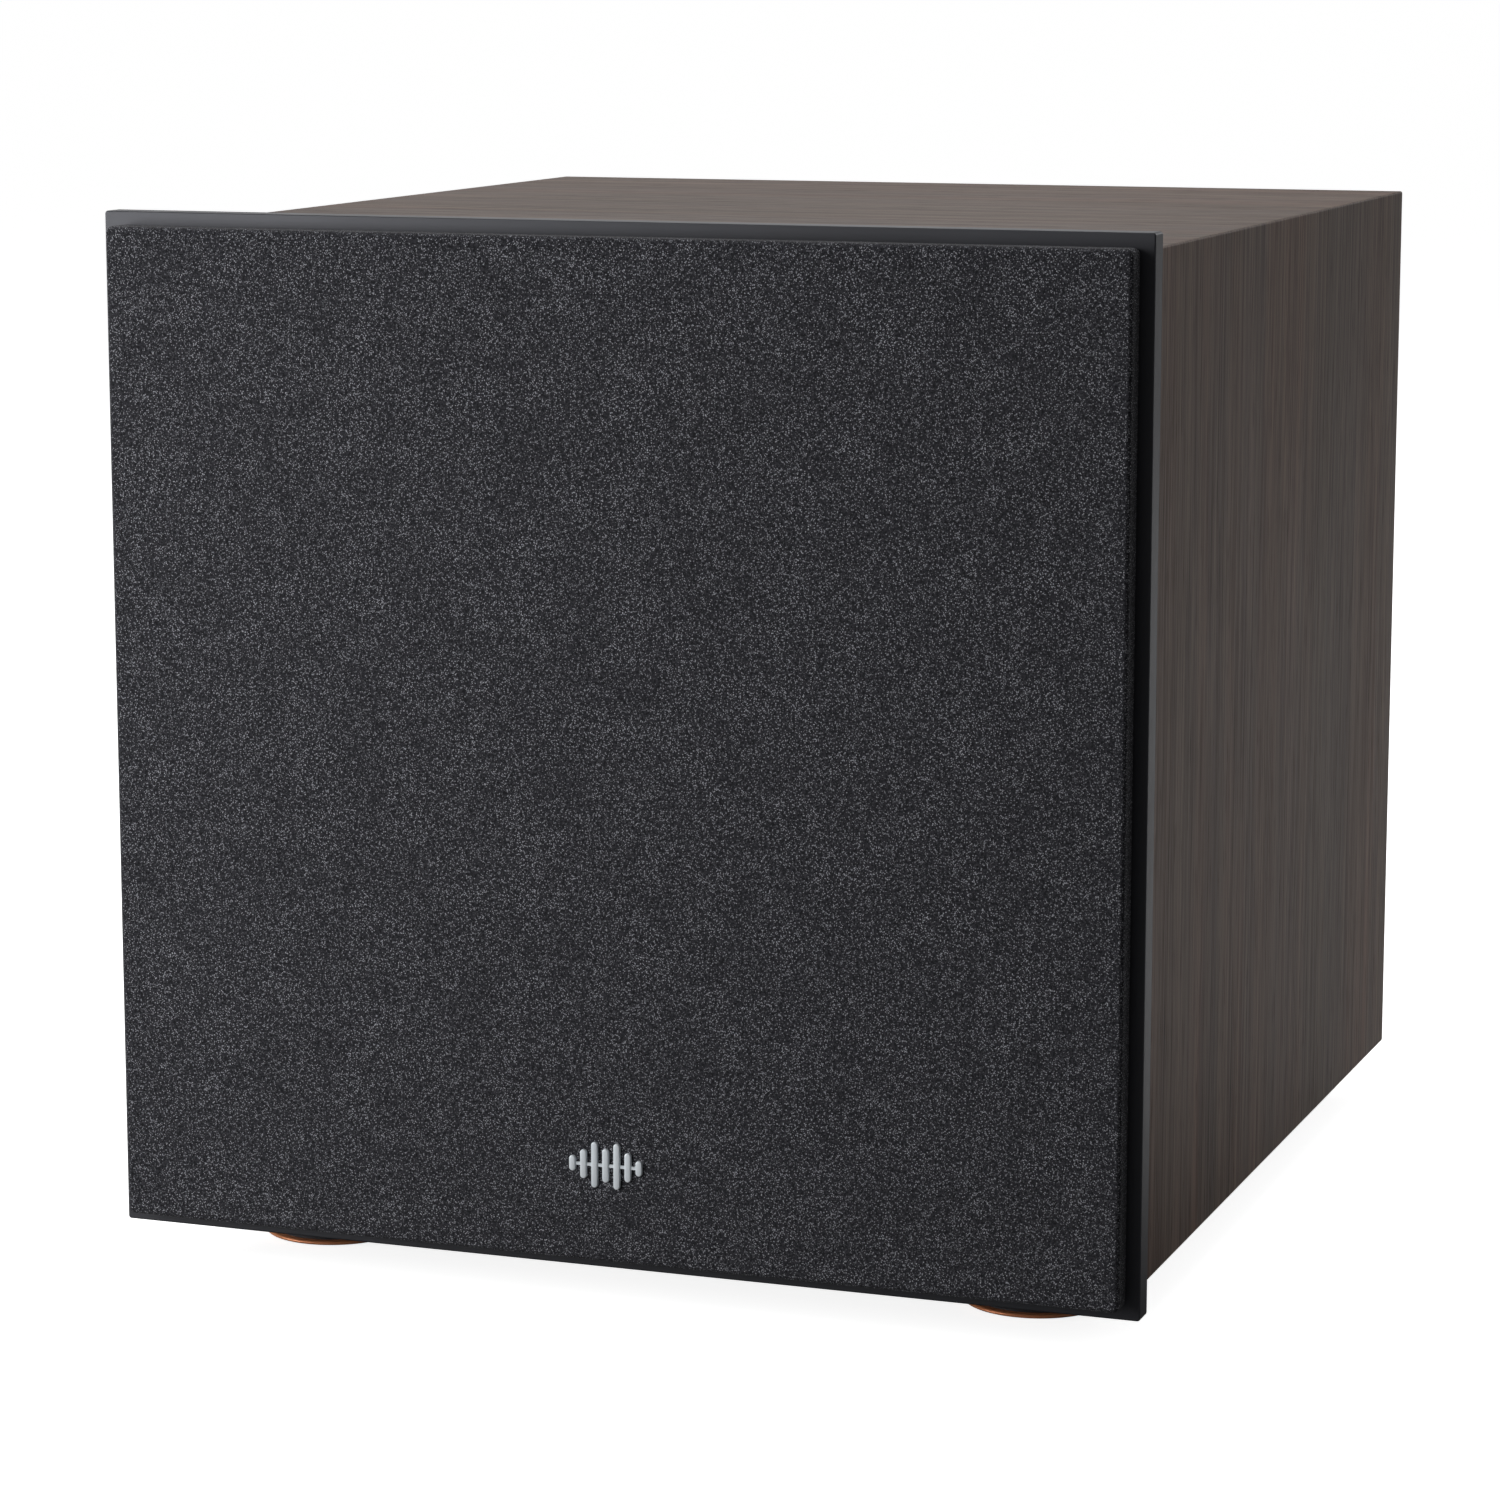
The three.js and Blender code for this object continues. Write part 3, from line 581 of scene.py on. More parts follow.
class Nodes:
    """Adds nodes to one tree, and links or sets their inputs."""

    def __init__(self, tree: Tree) -> None:
        """Work on one node tree."""
        self.tree = tree

    def add(self, kind: str, inputs: dict | None = None, **settings: object) -> Node:
        """Add a node.

        Args:
            kind: the node's type, without its ShaderNode prefix.
            inputs: socket name or number to a value, or to the socket that feeds it.
            settings: properties of the node itself.

        Returns:
            The new node.
        """
        node = self.tree.nodes.new(kind if kind.startswith("Node") else "ShaderNode" + kind)
        for name, value in settings.items():
            setattr(node, name, value)
        for name, value in (inputs or {}).items():
            if isinstance(value, Socket):
                self.tree.links.new(value, node.inputs[name])
            else:
                node.inputs[name].default_value = value
        return node

    def maths(self, operation: str, first: object, second: object = 0.0) -> Socket:
        """The result of a Math node."""
        return self.add("Math", {0: first, 1: second}, operation=operation).outputs[0]

    def place(self, vector: Socket, scale: Point, turn: Point = (0, 0, 0)) -> Socket:
        """Coordinates turned, then scaled.

        Args:
            vector: the coordinates.
            scale: the scale along each axis.
            turn: the turn about each axis, in degrees.

        Returns:
            The new coordinates.
        """
        radians = [math.radians(t) for t in turn]
        swung = self.add("Mapping", {"Vector": vector, "Rotation": radians}, vector_type="POINT")
        return self.add(
            "Mapping", {"Vector": swung.outputs[0], "Scale": scale}, vector_type="POINT",
        ).outputs[0]

    def noise(
        self, vector: Socket, scale: object, detail: float = 3.0, roughness: float = 0.5,
    ) -> Socket:
        """The value of a noise texture."""
        inputs = {"Vector": vector, "Scale": scale, "Detail": detail, "Roughness": roughness}
        return self.add("TexNoise", inputs).outputs["Fac"]

    def band(
        self, value: Socket, low: float, high: float, to_low: float = 0.0, to_high: float = 1.0,
    ) -> Socket:
        """A value spread smoothly between two limits.

        Args:
            value: the value.
            low: where the spread starts.
            high: where it ends.
            to_low: the result at the start.
            to_high: the result at the end.

        Returns:
            The result.
        """
        return self.add("MapRange", {
            "Value": value, "From Min": low, "From Max": high, "To Min": to_low, "To Max": to_high,
        }, interpolation_type="SMOOTHSTEP").outputs[0]

    def blend(self, share: Socket, first: object, second: object) -> Socket:
        """Two colours mixed by a share."""
        node = self.add("Mix", {0: share, 6: first, 7: second}, data_type="RGBA")
        return node.outputs[2]


def group(name: str, inputs: dict[str, object], outputs: Sequence[str], build: Callable) -> Tree:
    """A shader group, made the first time that a material asks for it.

    Args:
        name: the group's name.
        inputs: each input's name and default; None makes a vector input.
        outputs: the names of its outputs, which are all numbers.
        build: is given the nodes and the input sockets, and returns the output sockets.

    Returns:
        The group's node tree.
    """
    if name in bpy.data.node_groups:
        return bpy.data.node_groups[name]
    tree = bpy.data.node_groups.new(name, "ShaderNodeTree")
    for label, value in inputs.items():
        kind = "NodeSocketVector" if value is None else "NodeSocketFloat"
        socket = tree.interface.new_socket(name=label, in_out="INPUT", socket_type=kind)
        if value is not None:
            socket.default_value = value
    for label in outputs:
        tree.interface.new_socket(name=label, in_out="OUTPUT", socket_type="NodeSocketFloat")
    nodes = Nodes(tree)
    ends = build(nodes, nodes.add("NodeGroupInput").outputs)
    nodes.add("NodeGroupOutput", dict(zip(outputs, ends)))
    return tree


def wood_grain() -> Tree:
    """Printed wood grain that runs along the first coordinate and changes across the others.

    Returns:
        The group's node tree.
    """

    def build(nodes: Nodes, ends: Sockets) -> list[Socket]:
        """Broad bands of tone, streaks, fine lines, hairlines and short pores.

        Args:
            nodes: adds to the group's tree.
            ends: the group's inputs.

        Returns:
            The sockets that the group puts out.
        """
        where = ends["Vector"]
        bend = nodes.noise(nodes.place(where, (3.1, 7, 7)), 1.0, 2.0)
        sway = nodes.maths("MULTIPLY", bend, ends["Waver"])
        offset = nodes.add("CombineXYZ", {"Y": sway, "Z": sway}).outputs[0]
        bent = nodes.add("VectorMath", {0: where, 1: offset}, operation="ADD").outputs[0]
        layers = (
            ((0.9, 17, 17), 3.0, 0.6, 0.3, 0.7), ((1.3, 23, 37), 3.0, 0.55, 0.42, 0.64),
            ((1.8, 85, 85), 3.0, 0.6, 0.36, 0.66), ((6.5, 470, 470), 3.0, 0.7, 0.36, 0.66),
            ((7, 900, 900), 2.0, 0.7, 0.3, 0.7), ((48, 1300, 1300), 2.0, 0.6, 0.56, 0.7),
        )
        return [
            nodes.band(nodes.noise(nodes.place(bent, scale), 1.0, detail, rough), low, high)
            for scale, detail, rough, low, high in layers
        ]

    outputs = ("Bands", "Clouds", "Streaks", "Lines", "Hairs", "Pores")
    return group("wood_grain", {"Vector": None, "Waver": 0.01}, outputs, build)


def flecks() -> Tree:
    """Scattered pale fibres: spots of random size and strength.

    Returns:
        The group's node tree.
    """

    def build(nodes: Nodes, ends: Sockets) -> list[Socket]:
        """One spot in some of the cells of a cell pattern.

        Args:
            nodes: adds to the group's tree.
            ends: the group's inputs.

        Returns:
            The sockets that the group puts out.
        """
        cells = nodes.add("TexVoronoi", {"Vector": ends["Vector"], "Scale": 1.0}, feature="F1")
        parts = nodes.add("SeparateColor", {"Color": cells.outputs["Color"]})
        shown = nodes.maths("GREATER_THAN", ends["Share"], parts.outputs["Red"])
        spot = nodes.add("MapRange", {
            "Value": cells.outputs["Distance"], "From Min": ends["Size"], "From Max": 0.05,
        }, interpolation_type="SMOOTHSTEP").outputs[0]
        strength = nodes.maths("POWER", parts.outputs["Green"], 2.2)
        lit = nodes.maths("MULTIPLY", nodes.maths("MULTIPLY", shown, spot), strength)
        return [lit]

    return group("flecks", {"Vector": None, "Share": 0.5, "Size": 0.5}, ("Mask",), build)


def fine_texture() -> Tree:
    """The skin of a moulding or a paint: small bumps, and a slow drift of gloss.

    Returns:
        The group's node tree.
    """

    def build(nodes: Nodes, ends: Sockets) -> list[Socket]:
        """Bumps at two sizes, and a slow drift.

        Args:
            nodes: adds to the group's tree.
            ends: the group's inputs.

        Returns:
            The sockets that the group puts out.
        """
        where = ends["Vector"]
        coarse = nodes.noise(where, ends["Scale"], 2.0, 0.5)
        fine = nodes.noise(where, nodes.maths("MULTIPLY", ends["Scale"], 2.7), 1.0, 0.5)
        share = 0.65
        coarse, fine = nodes.maths("MULTIPLY", coarse, share), nodes.maths("MULTIPLY", fine, 1 - share)
        bumps = nodes.maths("ADD", coarse, fine)
        return [bumps, nodes.noise(where, 14.0, 3.0, 0.6)]

    return group("fine_texture", {"Vector": None, "Scale": 900.0}, ("Bumps", "Drift"), build)


def edge_wear_and_highlight() -> Tree:
    """Where hands and cloths have polished an edge, and where edges carry a painted highlight.

    Returns:
        The group's node tree.
    """

    def build(nodes: Nodes, ends: Sockets) -> list[Socket]:
        """Convex edges, broken up by noise: polished wear and a painted highlight.

        Args:
            nodes: adds to the group's tree.
            ends: the group's inputs.

        Returns:
            The sockets that the group puts out.
        """
        sharp = nodes.band(nodes.add("NewGeometry").outputs["Pointiness"], 0.515, 0.6)
        broken = nodes.band(nodes.noise(ends["Vector"], 120.0, 3.0, 0.6), 0.35, 0.65, 0.35, 1.0)
        return [nodes.maths("MULTIPLY", nodes.maths("MULTIPLY", sharp, broken), ends["Amount"])]

    return group("edge_wear_and_highlight", {"Vector": None, "Amount": 1.0}, ("Mask",), build)


def dust() -> Tree:
    """A little dust on what looks up.

    Returns:
        The group's node tree.
    """

    def build(nodes: Nodes, ends: Sockets) -> list[Socket]:
        """Up-facing surface, in soft patches with a few specks.

        Args:
            nodes: adds to the group's tree.
            ends: the group's inputs.

        Returns:
            The sockets that the group puts out.
        """
        normal = nodes.add("SeparateXYZ", {0: nodes.add("NewGeometry").outputs["Normal"]})
        up = nodes.band(normal.outputs["Z"], 0.2, 1.0)
        patches = nodes.band(nodes.noise(ends["Vector"], 22.0, 4.0, 0.6), 0.35, 0.75)
        specks = nodes.band(nodes.noise(ends["Vector"], 700.0, 1.0, 0.5), 0.68, 0.76)
        veil = nodes.maths("ADD", nodes.maths("MULTIPLY", patches, 0.5), specks)
        return [nodes.maths("MULTIPLY", nodes.maths("MULTIPLY", up, veil), ends["Amount"])]

    return group("dust", {"Vector": None, "Amount": 0.1}, ("Mask",), build)


# ------------------------------------------------------------------ finishes

Colour = tuple[float, float, float]


def opaque(colour: Colour) -> tuple[float, float, float, float]:
    """A linear colour with full alpha."""
    return (*colour, 1.0)


@dataclass(frozen=True)
class Finish:
    """A surface finish that a piece is dressed in.

    Args:
        name: the material's name.
        slot: the record's material slot that it belongs to.
    """

    name: str
    slot: str

    def shade(self, nodes: Nodes, where: Socket, skin: Node) -> None:
        """Connect the finish's own pattern to the skin.

        Args:
            nodes: adds to the material's tree.
            where: the coordinates that patterns follow.
            skin: the surface shader.
        """
        raise NotImplementedError

    def material(self) -> bpy.types.Material:
        """The finish's material, made once.

        Returns:
            The material.
        """
        if self.name in bpy.data.materials:
            return bpy.data.materials[self.name]
        made = bpy.data.materials.new(self.name)
        made.use_nodes = True
        made.node_tree.nodes.clear()
        nodes = Nodes(made.node_tree)
        skin = nodes.add("BsdfPrincipled")
        nodes.add("OutputMaterial", {"Surface": skin.outputs[0]})
        self.shade(nodes, nodes.add("TexCoord").outputs["Object"], skin)
        return made

    @staticmethod
    def relief(nodes: Nodes, skin: Node, height: Socket, strength: float, depth: float) -> None:
        """Feed the skin's normal from a height.

        Args:
            nodes: adds to the material's tree.
            skin: the surface shader.
            height: the height.
            strength: how much of the relief shows.
            depth: how deep it is.
        """
        bump = nodes.add("Bump", {"Height": height, "Strength": strength, "Distance": depth})
        nodes.tree.links.new(bump.outputs[0], skin.inputs["Normal"])

    @staticmethod
    def feed(nodes: Nodes, skin: Node, **sources: Socket) -> None:
        """Link sockets to the skin's inputs.

        Args:
            nodes: adds to the material's tree.
            skin: the surface shader.
            sources: input name to what feeds it; an underscore stands for a space.
        """
        for name, source in sources.items():
            nodes.tree.links.new(source, skin.inputs[name.replace("_", " ")])


class Grain(Enum):
    """The way that wood grain runs: the turn that brings it to the first coordinate."""

    ACROSS = (0.0, 0.0, 0.0)
    UPRIGHT = (0.0, 90.0, 0.0)


@dataclass(frozen=True)
class VinylFinish(Finish):
    """Dark wood-grain wrap.

    Args:
        grain: the way that the grain runs.
        deep: the colour of streaks, lines and pores.
        warm: the brown of the bands.
        ashen: the grey-brown between them.
        cool: the colour of the clouds.
        line: the pale colour of the hairlines.
    """

    grain: Grain = Grain.ACROSS
    deep: Colour = (0.028, 0.019, 0.016)
    warm: Colour = (0.17, 0.093, 0.069)
    ashen: Colour = (0.131, 0.104, 0.085)
    cool: Colour = (0.106, 0.091, 0.09)
    line: Colour = (0.29, 0.22, 0.18)

    def shade(self, nodes: Nodes, where: Socket, skin: Node) -> None:
        """Bands of three tones, dark streaks, fine lines, hairlines and pores.

        Args:
            nodes: adds to the material's tree.
            where: the coordinates that patterns follow.
            skin: the surface shader.
        """
        run = nodes.place(where, (1, 1, 1), self.grain.value)
        grain = nodes.add("Group", {"Vector": run}, node_tree=wood_grain())
        part = grain.outputs
        tone = nodes.blend(part["Bands"], opaque(self.warm), opaque(self.ashen))
        tone = nodes.blend(nodes.maths("MULTIPLY", part["Clouds"], 0.6), tone, opaque(self.cool))
        for name, share, colour in (
            ("Streaks", 0.42, self.deep), ("Lines", 0.72, self.deep), ("Hairs", 0.5, self.line),
            ("Pores", 0.6, self.deep),
        ):
            tone = nodes.blend(nodes.maths("MULTIPLY", part[name], share), tone, opaque(colour))
        haze = nodes.add("Group", {"Vector": where, "Amount": 0.02}, node_tree=dust())
        tone = nodes.blend(haze.outputs[0], tone, (0.4, 0.38, 0.35, 1))
        rough = nodes.maths("ADD", nodes.band(part["Lines"], 0.0, 1.0, 0.5, 0.56),
                            nodes.maths("MULTIPLY", part["Pores"], 0.12))
        height = nodes.maths("ADD", nodes.maths("MULTIPLY", part["Hairs"], 0.4),
                             nodes.maths("SUBTRACT", 1.0, part["Pores"]))
        skin.inputs["Specular IOR Level"].default_value = 0.14
        self.feed(nodes, skin, Base_Color=tone, Roughness=rough)
        self.relief(nodes, skin, height, 0.3, 0.0001)


@dataclass(frozen=True)
class MouldedFinish(Finish):
    """Plastic or paint with a fine skin.

    Args:
        colour: the main colour.
        worn_and_highlight: the colour of its drift and of its polished edges, where it is also a
            painted highlight.
        roughness: the middle of its roughness.
        spread: how far the roughness ranges.
        scale: the scale of the bumps.
        depth: how deep they are.
        strength: how much they show.
        metallic: how metallic it is.
        dusty: how much dust lies on it.
        wear_and_highlight: how much its edges are polished and lightened as a painted highlight.
        specular: how strongly it reflects.
        sheen: the colour of its reflections.
    """

    colour: Colour = (0.008, 0.008, 0.009)
    worn_and_highlight: Colour = (0.03, 0.03, 0.032)
    roughness: float = 0.42
    spread: float = 0.1
    scale: float = 900.0
    depth: float = 0.00006
    strength: float = 0.35
    metallic: float = 0.0
    dusty: float = 0.04
    wear_and_highlight: float = 0.5
    specular: float = 0.5
    sheen: Colour = (1.0, 1.0, 1.0)

    def shade(self, nodes: Nodes, where: Socket, skin: Node) -> None:
        """Small bumps, drifting gloss, polished edges that also carry a painted highlight, and a trace
        of dust.

        Args:
            nodes: adds to the material's tree.
            where: the coordinates that patterns follow.
            skin: the surface shader.
        """
        skin.inputs["Metallic"].default_value = self.metallic
        skin.inputs["Specular IOR Level"].default_value = self.specular
        skin.inputs["Specular Tint"].default_value = opaque(self.sheen)
        fine = nodes.add("Group", {"Vector": where, "Scale": self.scale}, node_tree=fine_texture())
        wear_and_highlight = nodes.add("Group", {"Vector": where, "Amount": self.wear_and_highlight}, node_tree=edge_wear_and_highlight())
        haze = nodes.add("Group", {"Vector": where, "Amount": self.dusty}, node_tree=dust())
        varied = nodes.band(fine.outputs["Drift"], 0.25, 0.75, 0.0, 0.35)
        tone = nodes.blend(varied, opaque(self.colour), opaque(self.worn_and_highlight))
        # Convex edges are lightened towards the worn colour: partly real wear, partly a painted
        # highlight.
        tone = nodes.blend(wear_and_highlight.outputs[0], tone, opaque(self.worn_and_highlight))
        tone = nodes.blend(haze.outputs[0], tone, (0.35, 0.34, 0.32, 1))
        low, high = self.roughness - self.spread / 2, self.roughness + self.spread / 2
        rough = nodes.band(fine.outputs["Drift"], 0.25, 0.75, low, high)
        rough = nodes.maths("SUBTRACT", rough, nodes.maths("MULTIPLY", wear_and_highlight.outputs[0], self.spread))
        self.feed(nodes, skin, Base_Color=tone, Roughness=rough)
        self.relief(nodes, skin, fine.outputs["Bumps"], self.strength, self.depth)


@dataclass(frozen=True)
class GrilleClothFinish(Finish):
    """Charcoal knit with pale fibres in it.

    Args:
        ground: the colour between the threads.
        thread: the colour of the threads.
        pale: the colour of the fibres.
        pitch: the distance between threads.
    """

    ground: Colour = (0.008, 0.008, 0.0102)
    thread: Colour = (0.034, 0.034, 0.041)
    pale: Colour = (0.9, 0.91, 0.99)
    pitch: float = 0.42 * MM

    def shade(self, nodes: Nodes, where: Socket, skin: Node) -> None:
        """Layers of fibres lying different ways, over a fine knit.

        Args:
            nodes: adds to the material's tree.
            where: the coordinates that patterns follow.
            skin: the surface shader.
        """
        layers = (
            ((2150, 2150, 2150), (0, 0, 0), 0.5, 0.62),
            ((1700, 1700, 3100), (0, 34, 0), 0.3, 0.5),
            ((1700, 1700, 3100), (0, -52, 0), 0.26, 0.5),
            ((3100, 1700, 1700), (0, 12, 20), 0.24, 0.5),
        )
        mask = None
        for scale, turn, share, size in layers:
            spot = nodes.add("Group", {
                "Vector": nodes.place(where, scale, turn), "Share": share, "Size": size,
            }, node_tree=flecks()).outputs[0]
            mask = spot if mask is None else nodes.maths("MAXIMUM", mask, spot)
        knit = nodes.noise(where, 1 / (2 * self.pitch), 2.0, 0.6)
        cloud = nodes.noise(where, 55.0, 3.0, 0.6)
        tone = nodes.blend(nodes.band(knit, 0.35, 0.65), opaque(self.ground), opaque(self.thread))
        lit = nodes.maths("MULTIPLY", mask, nodes.band(cloud, 0.3, 0.7, 0.5, 0.8))
        tone = nodes.blend(lit, tone, opaque(self.pale))
        skin.inputs["Roughness"].default_value = 0.92
        skin.inputs["Sheen Weight"].default_value = 0.06
        skin.inputs["Sheen Roughness"].default_value = 0.5
        skin.inputs["Specular IOR Level"].default_value = 0.2
        self.feed(nodes, skin, Base_Color=tone)
        height = nodes.maths("ADD", nodes.maths("MULTIPLY", knit, 0.7),
                             nodes.maths("MULTIPLY", mask, 0.5))
        self.relief(nodes, skin, height, 0.6, 0.0003)


@dataclass(frozen=True)
class MetalFinish(Finish):
    """Bare or plated metal, brushed or turned.

    Args:
        colour: the main colour.
        shaded: the darker colour that it drifts to.
        roughness: the middle of its roughness.
        stretch: the scale of the tool marks along each axis.
        strength: how much they show.
        metallic: how metallic it is.
    """

    colour: Colour = (0.55, 0.56, 0.57)
    shaded: Colour = (0.42, 0.43, 0.44)
    roughness: float = 0.3
    stretch: Point = (900, 900, 900)
    strength: float = 0.15
    metallic: float = 1.0

    def shade(self, nodes: Nodes, where: Socket, skin: Node) -> None:
        """Fine tool marks, and a drift of tone and gloss.

        Args:
            nodes: adds to the material's tree.
            where: the coordinates that patterns follow.
            skin: the surface shader.
        """
        skin.inputs["Metallic"].default_value = self.metallic
        marks = nodes.noise(nodes.place(where, self.stretch), 1.0, 2.0, 0.6)
        drift = nodes.noise(where, 40.0, 3.0, 0.6)
        tone = nodes.blend(nodes.band(drift, 0.3, 0.7), opaque(self.shaded), opaque(self.colour))
        low, high = self.roughness - 0.06, self.roughness + 0.08
        self.feed(nodes, skin, Base_Color=tone, Roughness=nodes.band(marks, 0.3, 0.7, low, high))
        self.relief(nodes, skin, marks, self.strength, 0.00003)


@dataclass(frozen=True)
class FibreFinish(Finish):
    """Anything matted or pressed from fibres: paper, board, wadding, foam, dipped cloth.

    Args:
        colour: the ground colour.
        strand: the colour of the strands.
        scale: the scale of the tangle.
        roughness: the middle of its roughness.
        strength: how much the strands show as relief.
        depth: how deep the relief is.
    """

    colour: Colour = (0.02, 0.02, 0.022)
    strand: Colour = (0.06, 0.06, 0.065)
    scale: float = 260.0
    roughness: float = 0.8
    strength: float = 0.4
    depth: float = 0.0002

    def shade(self, nodes: Nodes, where: Socket, skin: Node) -> None:
        """Tangled strands from folded noise, over a slow mottle.

        Args:
            nodes: adds to the material's tree.
            where: the coordinates that patterns follow.
            skin: the surface shader.
        """
        warp = nodes.noise(where, self.scale * 0.4, 2.0, 0.5)
        tangled = nodes.noise(
            nodes.add("VectorMath", {0: where, 1: nodes.add("CombineXYZ", {
                "X": nodes.maths("MULTIPLY", warp, 0.01), "Z": nodes.maths("MULTIPLY", warp, -0.01),
            }).outputs[0]}, operation="ADD").outputs[0], self.scale, 4.0, 0.7,
        )
        fold = nodes.maths("ABSOLUTE", nodes.maths("SUBTRACT", tangled, 0.5))
        strands = nodes.band(fold, 0.0, 0.09, 1.0, 0.0)
        mottle = nodes.band(nodes.noise(where, 30.0, 3.0, 0.6), 0.3, 0.7, 0.3, 0.9)
        tone = nodes.blend(nodes.maths("MULTIPLY", strands, mottle), opaque(self.colour),
                           opaque(self.strand))
        rough = nodes.band(strands, 0.0, 1.0, self.roughness - 0.08, self.roughness + 0.05)
        self.feed(nodes, skin, Base_Color=tone, Roughness=rough)
        self.relief(nodes, skin, strands, self.strength, self.depth)


@dataclass(frozen=True)
class GlowFinish(Finish):
    """A tinted light pipe with a lamp behind it.

    Args:
        colour: the tint.
        strength: how strongly it glows.
    """

    colour: Colour = (0.05, 0.16, 0.6)
    strength: float = 1.6

    def shade(self, nodes: Nodes, where: Socket, skin: Node) -> None:
        """Clear tinted plastic that glows a little unevenly.

        Args:
            nodes: adds to the material's tree.
            where: the coordinates that patterns follow.
            skin: the surface shader.
        """
        cloud = nodes.band(nodes.noise(where, 500.0, 2.0, 0.5), 0.3, 0.7, 0.0, 0.5)
        tone = nodes.blend(cloud, opaque(self.colour), (0.25, 0.45, 1.0, 1))
        skin.inputs["Roughness"].default_value = 0.15
        skin.inputs["Emission Strength"].default_value = self.strength
        self.feed(nodes, skin, Base_Color=tone, Emission_Color=tone)


VINYL_ACROSS = VinylFinish("vinyl_grain_across", "veneer", Grain.ACROSS)
VINYL_UPRIGHT = VinylFinish("vinyl_grain_upright", "veneer", Grain.UPRIGHT)
SATIN_BLACK = MouldedFinish(
    "fascia_satin_black", "satin_black", colour=(0.0046, 0.0046, 0.0068),
    worn_and_highlight=(0.011, 0.012, 0.016), roughness=0.47, spread=0.06, specular=0.85,
    sheen=(0.92, 0.93, 1.0), scale=1500, depth=0.00005, strength=0.4, wear_and_highlight=0.6,
)
MOULDED_BLACK = MouldedFinish("moulded_black", "moulded_black", roughness=0.5)
PANEL_PAINT = MouldedFinish(
    "panel_crinkle_paint", "panel_paint", colour=(0.009, 0.009, 0.01), roughness=0.55,
    scale=1100, depth=0.00018, strength=0.7, dusty=0.06,
)
PRINTING = MouldedFinish(
    "panel_printing", "panel_paint", colour=(0.62, 0.62, 0.6), worn_and_highlight=(0.5, 0.5, 0.48),
    roughness=0.6, dusty=0.0, wear_and_highlight=0.0,
)
RUBBER = MouldedFinish(
    "black_rubber", "rubber", colour=(0.009, 0.009, 0.0095), worn_and_highlight=(0.02, 0.02, 0.021),
    roughness=0.58, spread=0.16, scale=600, depth=0.00008, strength=0.35, dusty=0.05,
)
JACK_WHITE = MouldedFinish(
    "jack_ring_white", "jack_white", colour=(0.7, 0.7, 0.68), worn_and_highlight=(0.6, 0.6, 0.58),
    roughness=0.3, wear_and_highlight=0.1,
)
JACK_RED = MouldedFinish(
    "jack_ring_red", "jack_red", colour=(0.45, 0.012, 0.012), worn_and_highlight=(0.35, 0.02, 0.02),
    roughness=0.3, wear_and_highlight=0.1,
)
CIRCUIT_GREEN = MouldedFinish(
    "solder_mask_green", "circuit_board", colour=(0.008, 0.06, 0.03), worn_and_highlight=(0.03, 0.12, 0.06),
    roughness=0.35, scale=400,
)
LEAD_BLACK = MouldedFinish(
    "lead_sheath_black", "lead_sheath", colour=(0.01, 0.01, 0.01), roughness=0.45,
)
LEAD_RED = MouldedFinish(
    "lead_sheath_red", "lead_sheath", colour=(0.25, 0.01, 0.008), worn_and_highlight=(0.3, 0.05, 0.04),
    roughness=0.45,
)
BLACK_STEEL = MouldedFinish(
    "basket_powder_coat", "black_steel", colour=(0.01, 0.01, 0.011), roughness=0.5,
    depth=0.0001, strength=0.5,
)
FERRITE = MouldedFinish(
    "magnet_ferrite", "ferrite", colour=(0.03, 0.03, 0.033), worn_and_highlight=(0.07, 0.07, 0.07),
    roughness=0.6, scale=300, depth=0.0002,
)
CLOTH = GrilleClothFinish("grille_cloth_charcoal", "grille_fabric")
BADGE_METAL = MetalFinish(
    "badge_satin_silver", "badge_metal", colour=(0.8, 0.85, 0.89), shaded=(0.7, 0.75, 0.79),
    roughness=0.42, stretch=(60, 900, 2200), metallic=0.25,
)
COPPER = MetalFinish(
    "ring_satin_copper", "copper", colour=(1.0, 0.4, 0.19), shaded=(0.86, 0.3, 0.13),
    roughness=0.36, stretch=(500, 500, 2500), metallic=0.3,
)
ZINC = MetalFinish("zinc_plate", "zinc_steel", roughness=0.32)
BLACK_SCREW = MetalFinish(
    "screw_black_oxide", "black_steel", colour=(0.045, 0.045, 0.048), shaded=(0.02, 0.02, 0.022),
    roughness=0.34,
)
NICKEL = MetalFinish(
    "jack_nickel", "zinc_steel", colour=(0.72, 0.7, 0.66), shaded=(0.6, 0.58, 0.55), roughness=0.2,
)
ALUMINIUM = MetalFinish(
    "extruded_aluminium", "aluminium", colour=(0.6, 0.61, 0.62), roughness=0.38,
    stretch=(2000, 60, 60),
)
CORE_STEEL = MetalFinish(
    "laminated_core", "core_steel", colour=(0.2, 0.19, 0.18), shaded=(0.1, 0.09, 0.08),
    roughness=0.45, stretch=(60, 3000, 60),
)
WINDING = MetalFinish(
    "enamelled_wire", "coil_winding", colour=(0.55, 0.2, 0.08), shaded=(0.4, 0.12, 0.05),
    roughness=0.3, stretch=(60, 2600, 60), strength=0.6,
)
PAPER_CONE = FibreFinish(
    "pressed_paper", "paper_cone", colour=(0.014, 0.014, 0.0155), strand=(0.05, 0.05, 0.054),
    scale=420, roughness=0.62, strength=0.35,
)
FIBREBOARD = FibreFinish(
    "raw_fibreboard", "fibreboard", colour=(0.34, 0.2, 0.1), strand=(0.46, 0.3, 0.16), scale=700,
)
BAFFLE_PAINT = FibreFinish(
    "baffle_black_paint", "fibreboard", colour=(0.008, 0.008, 0.008), strand=(0.02, 0.02, 0.02),
    scale=700, roughness=0.75,
)
FOAM = FibreFinish("closed_cell_foam", "foam", colour=(0.02, 0.02, 0.02), scale=900)
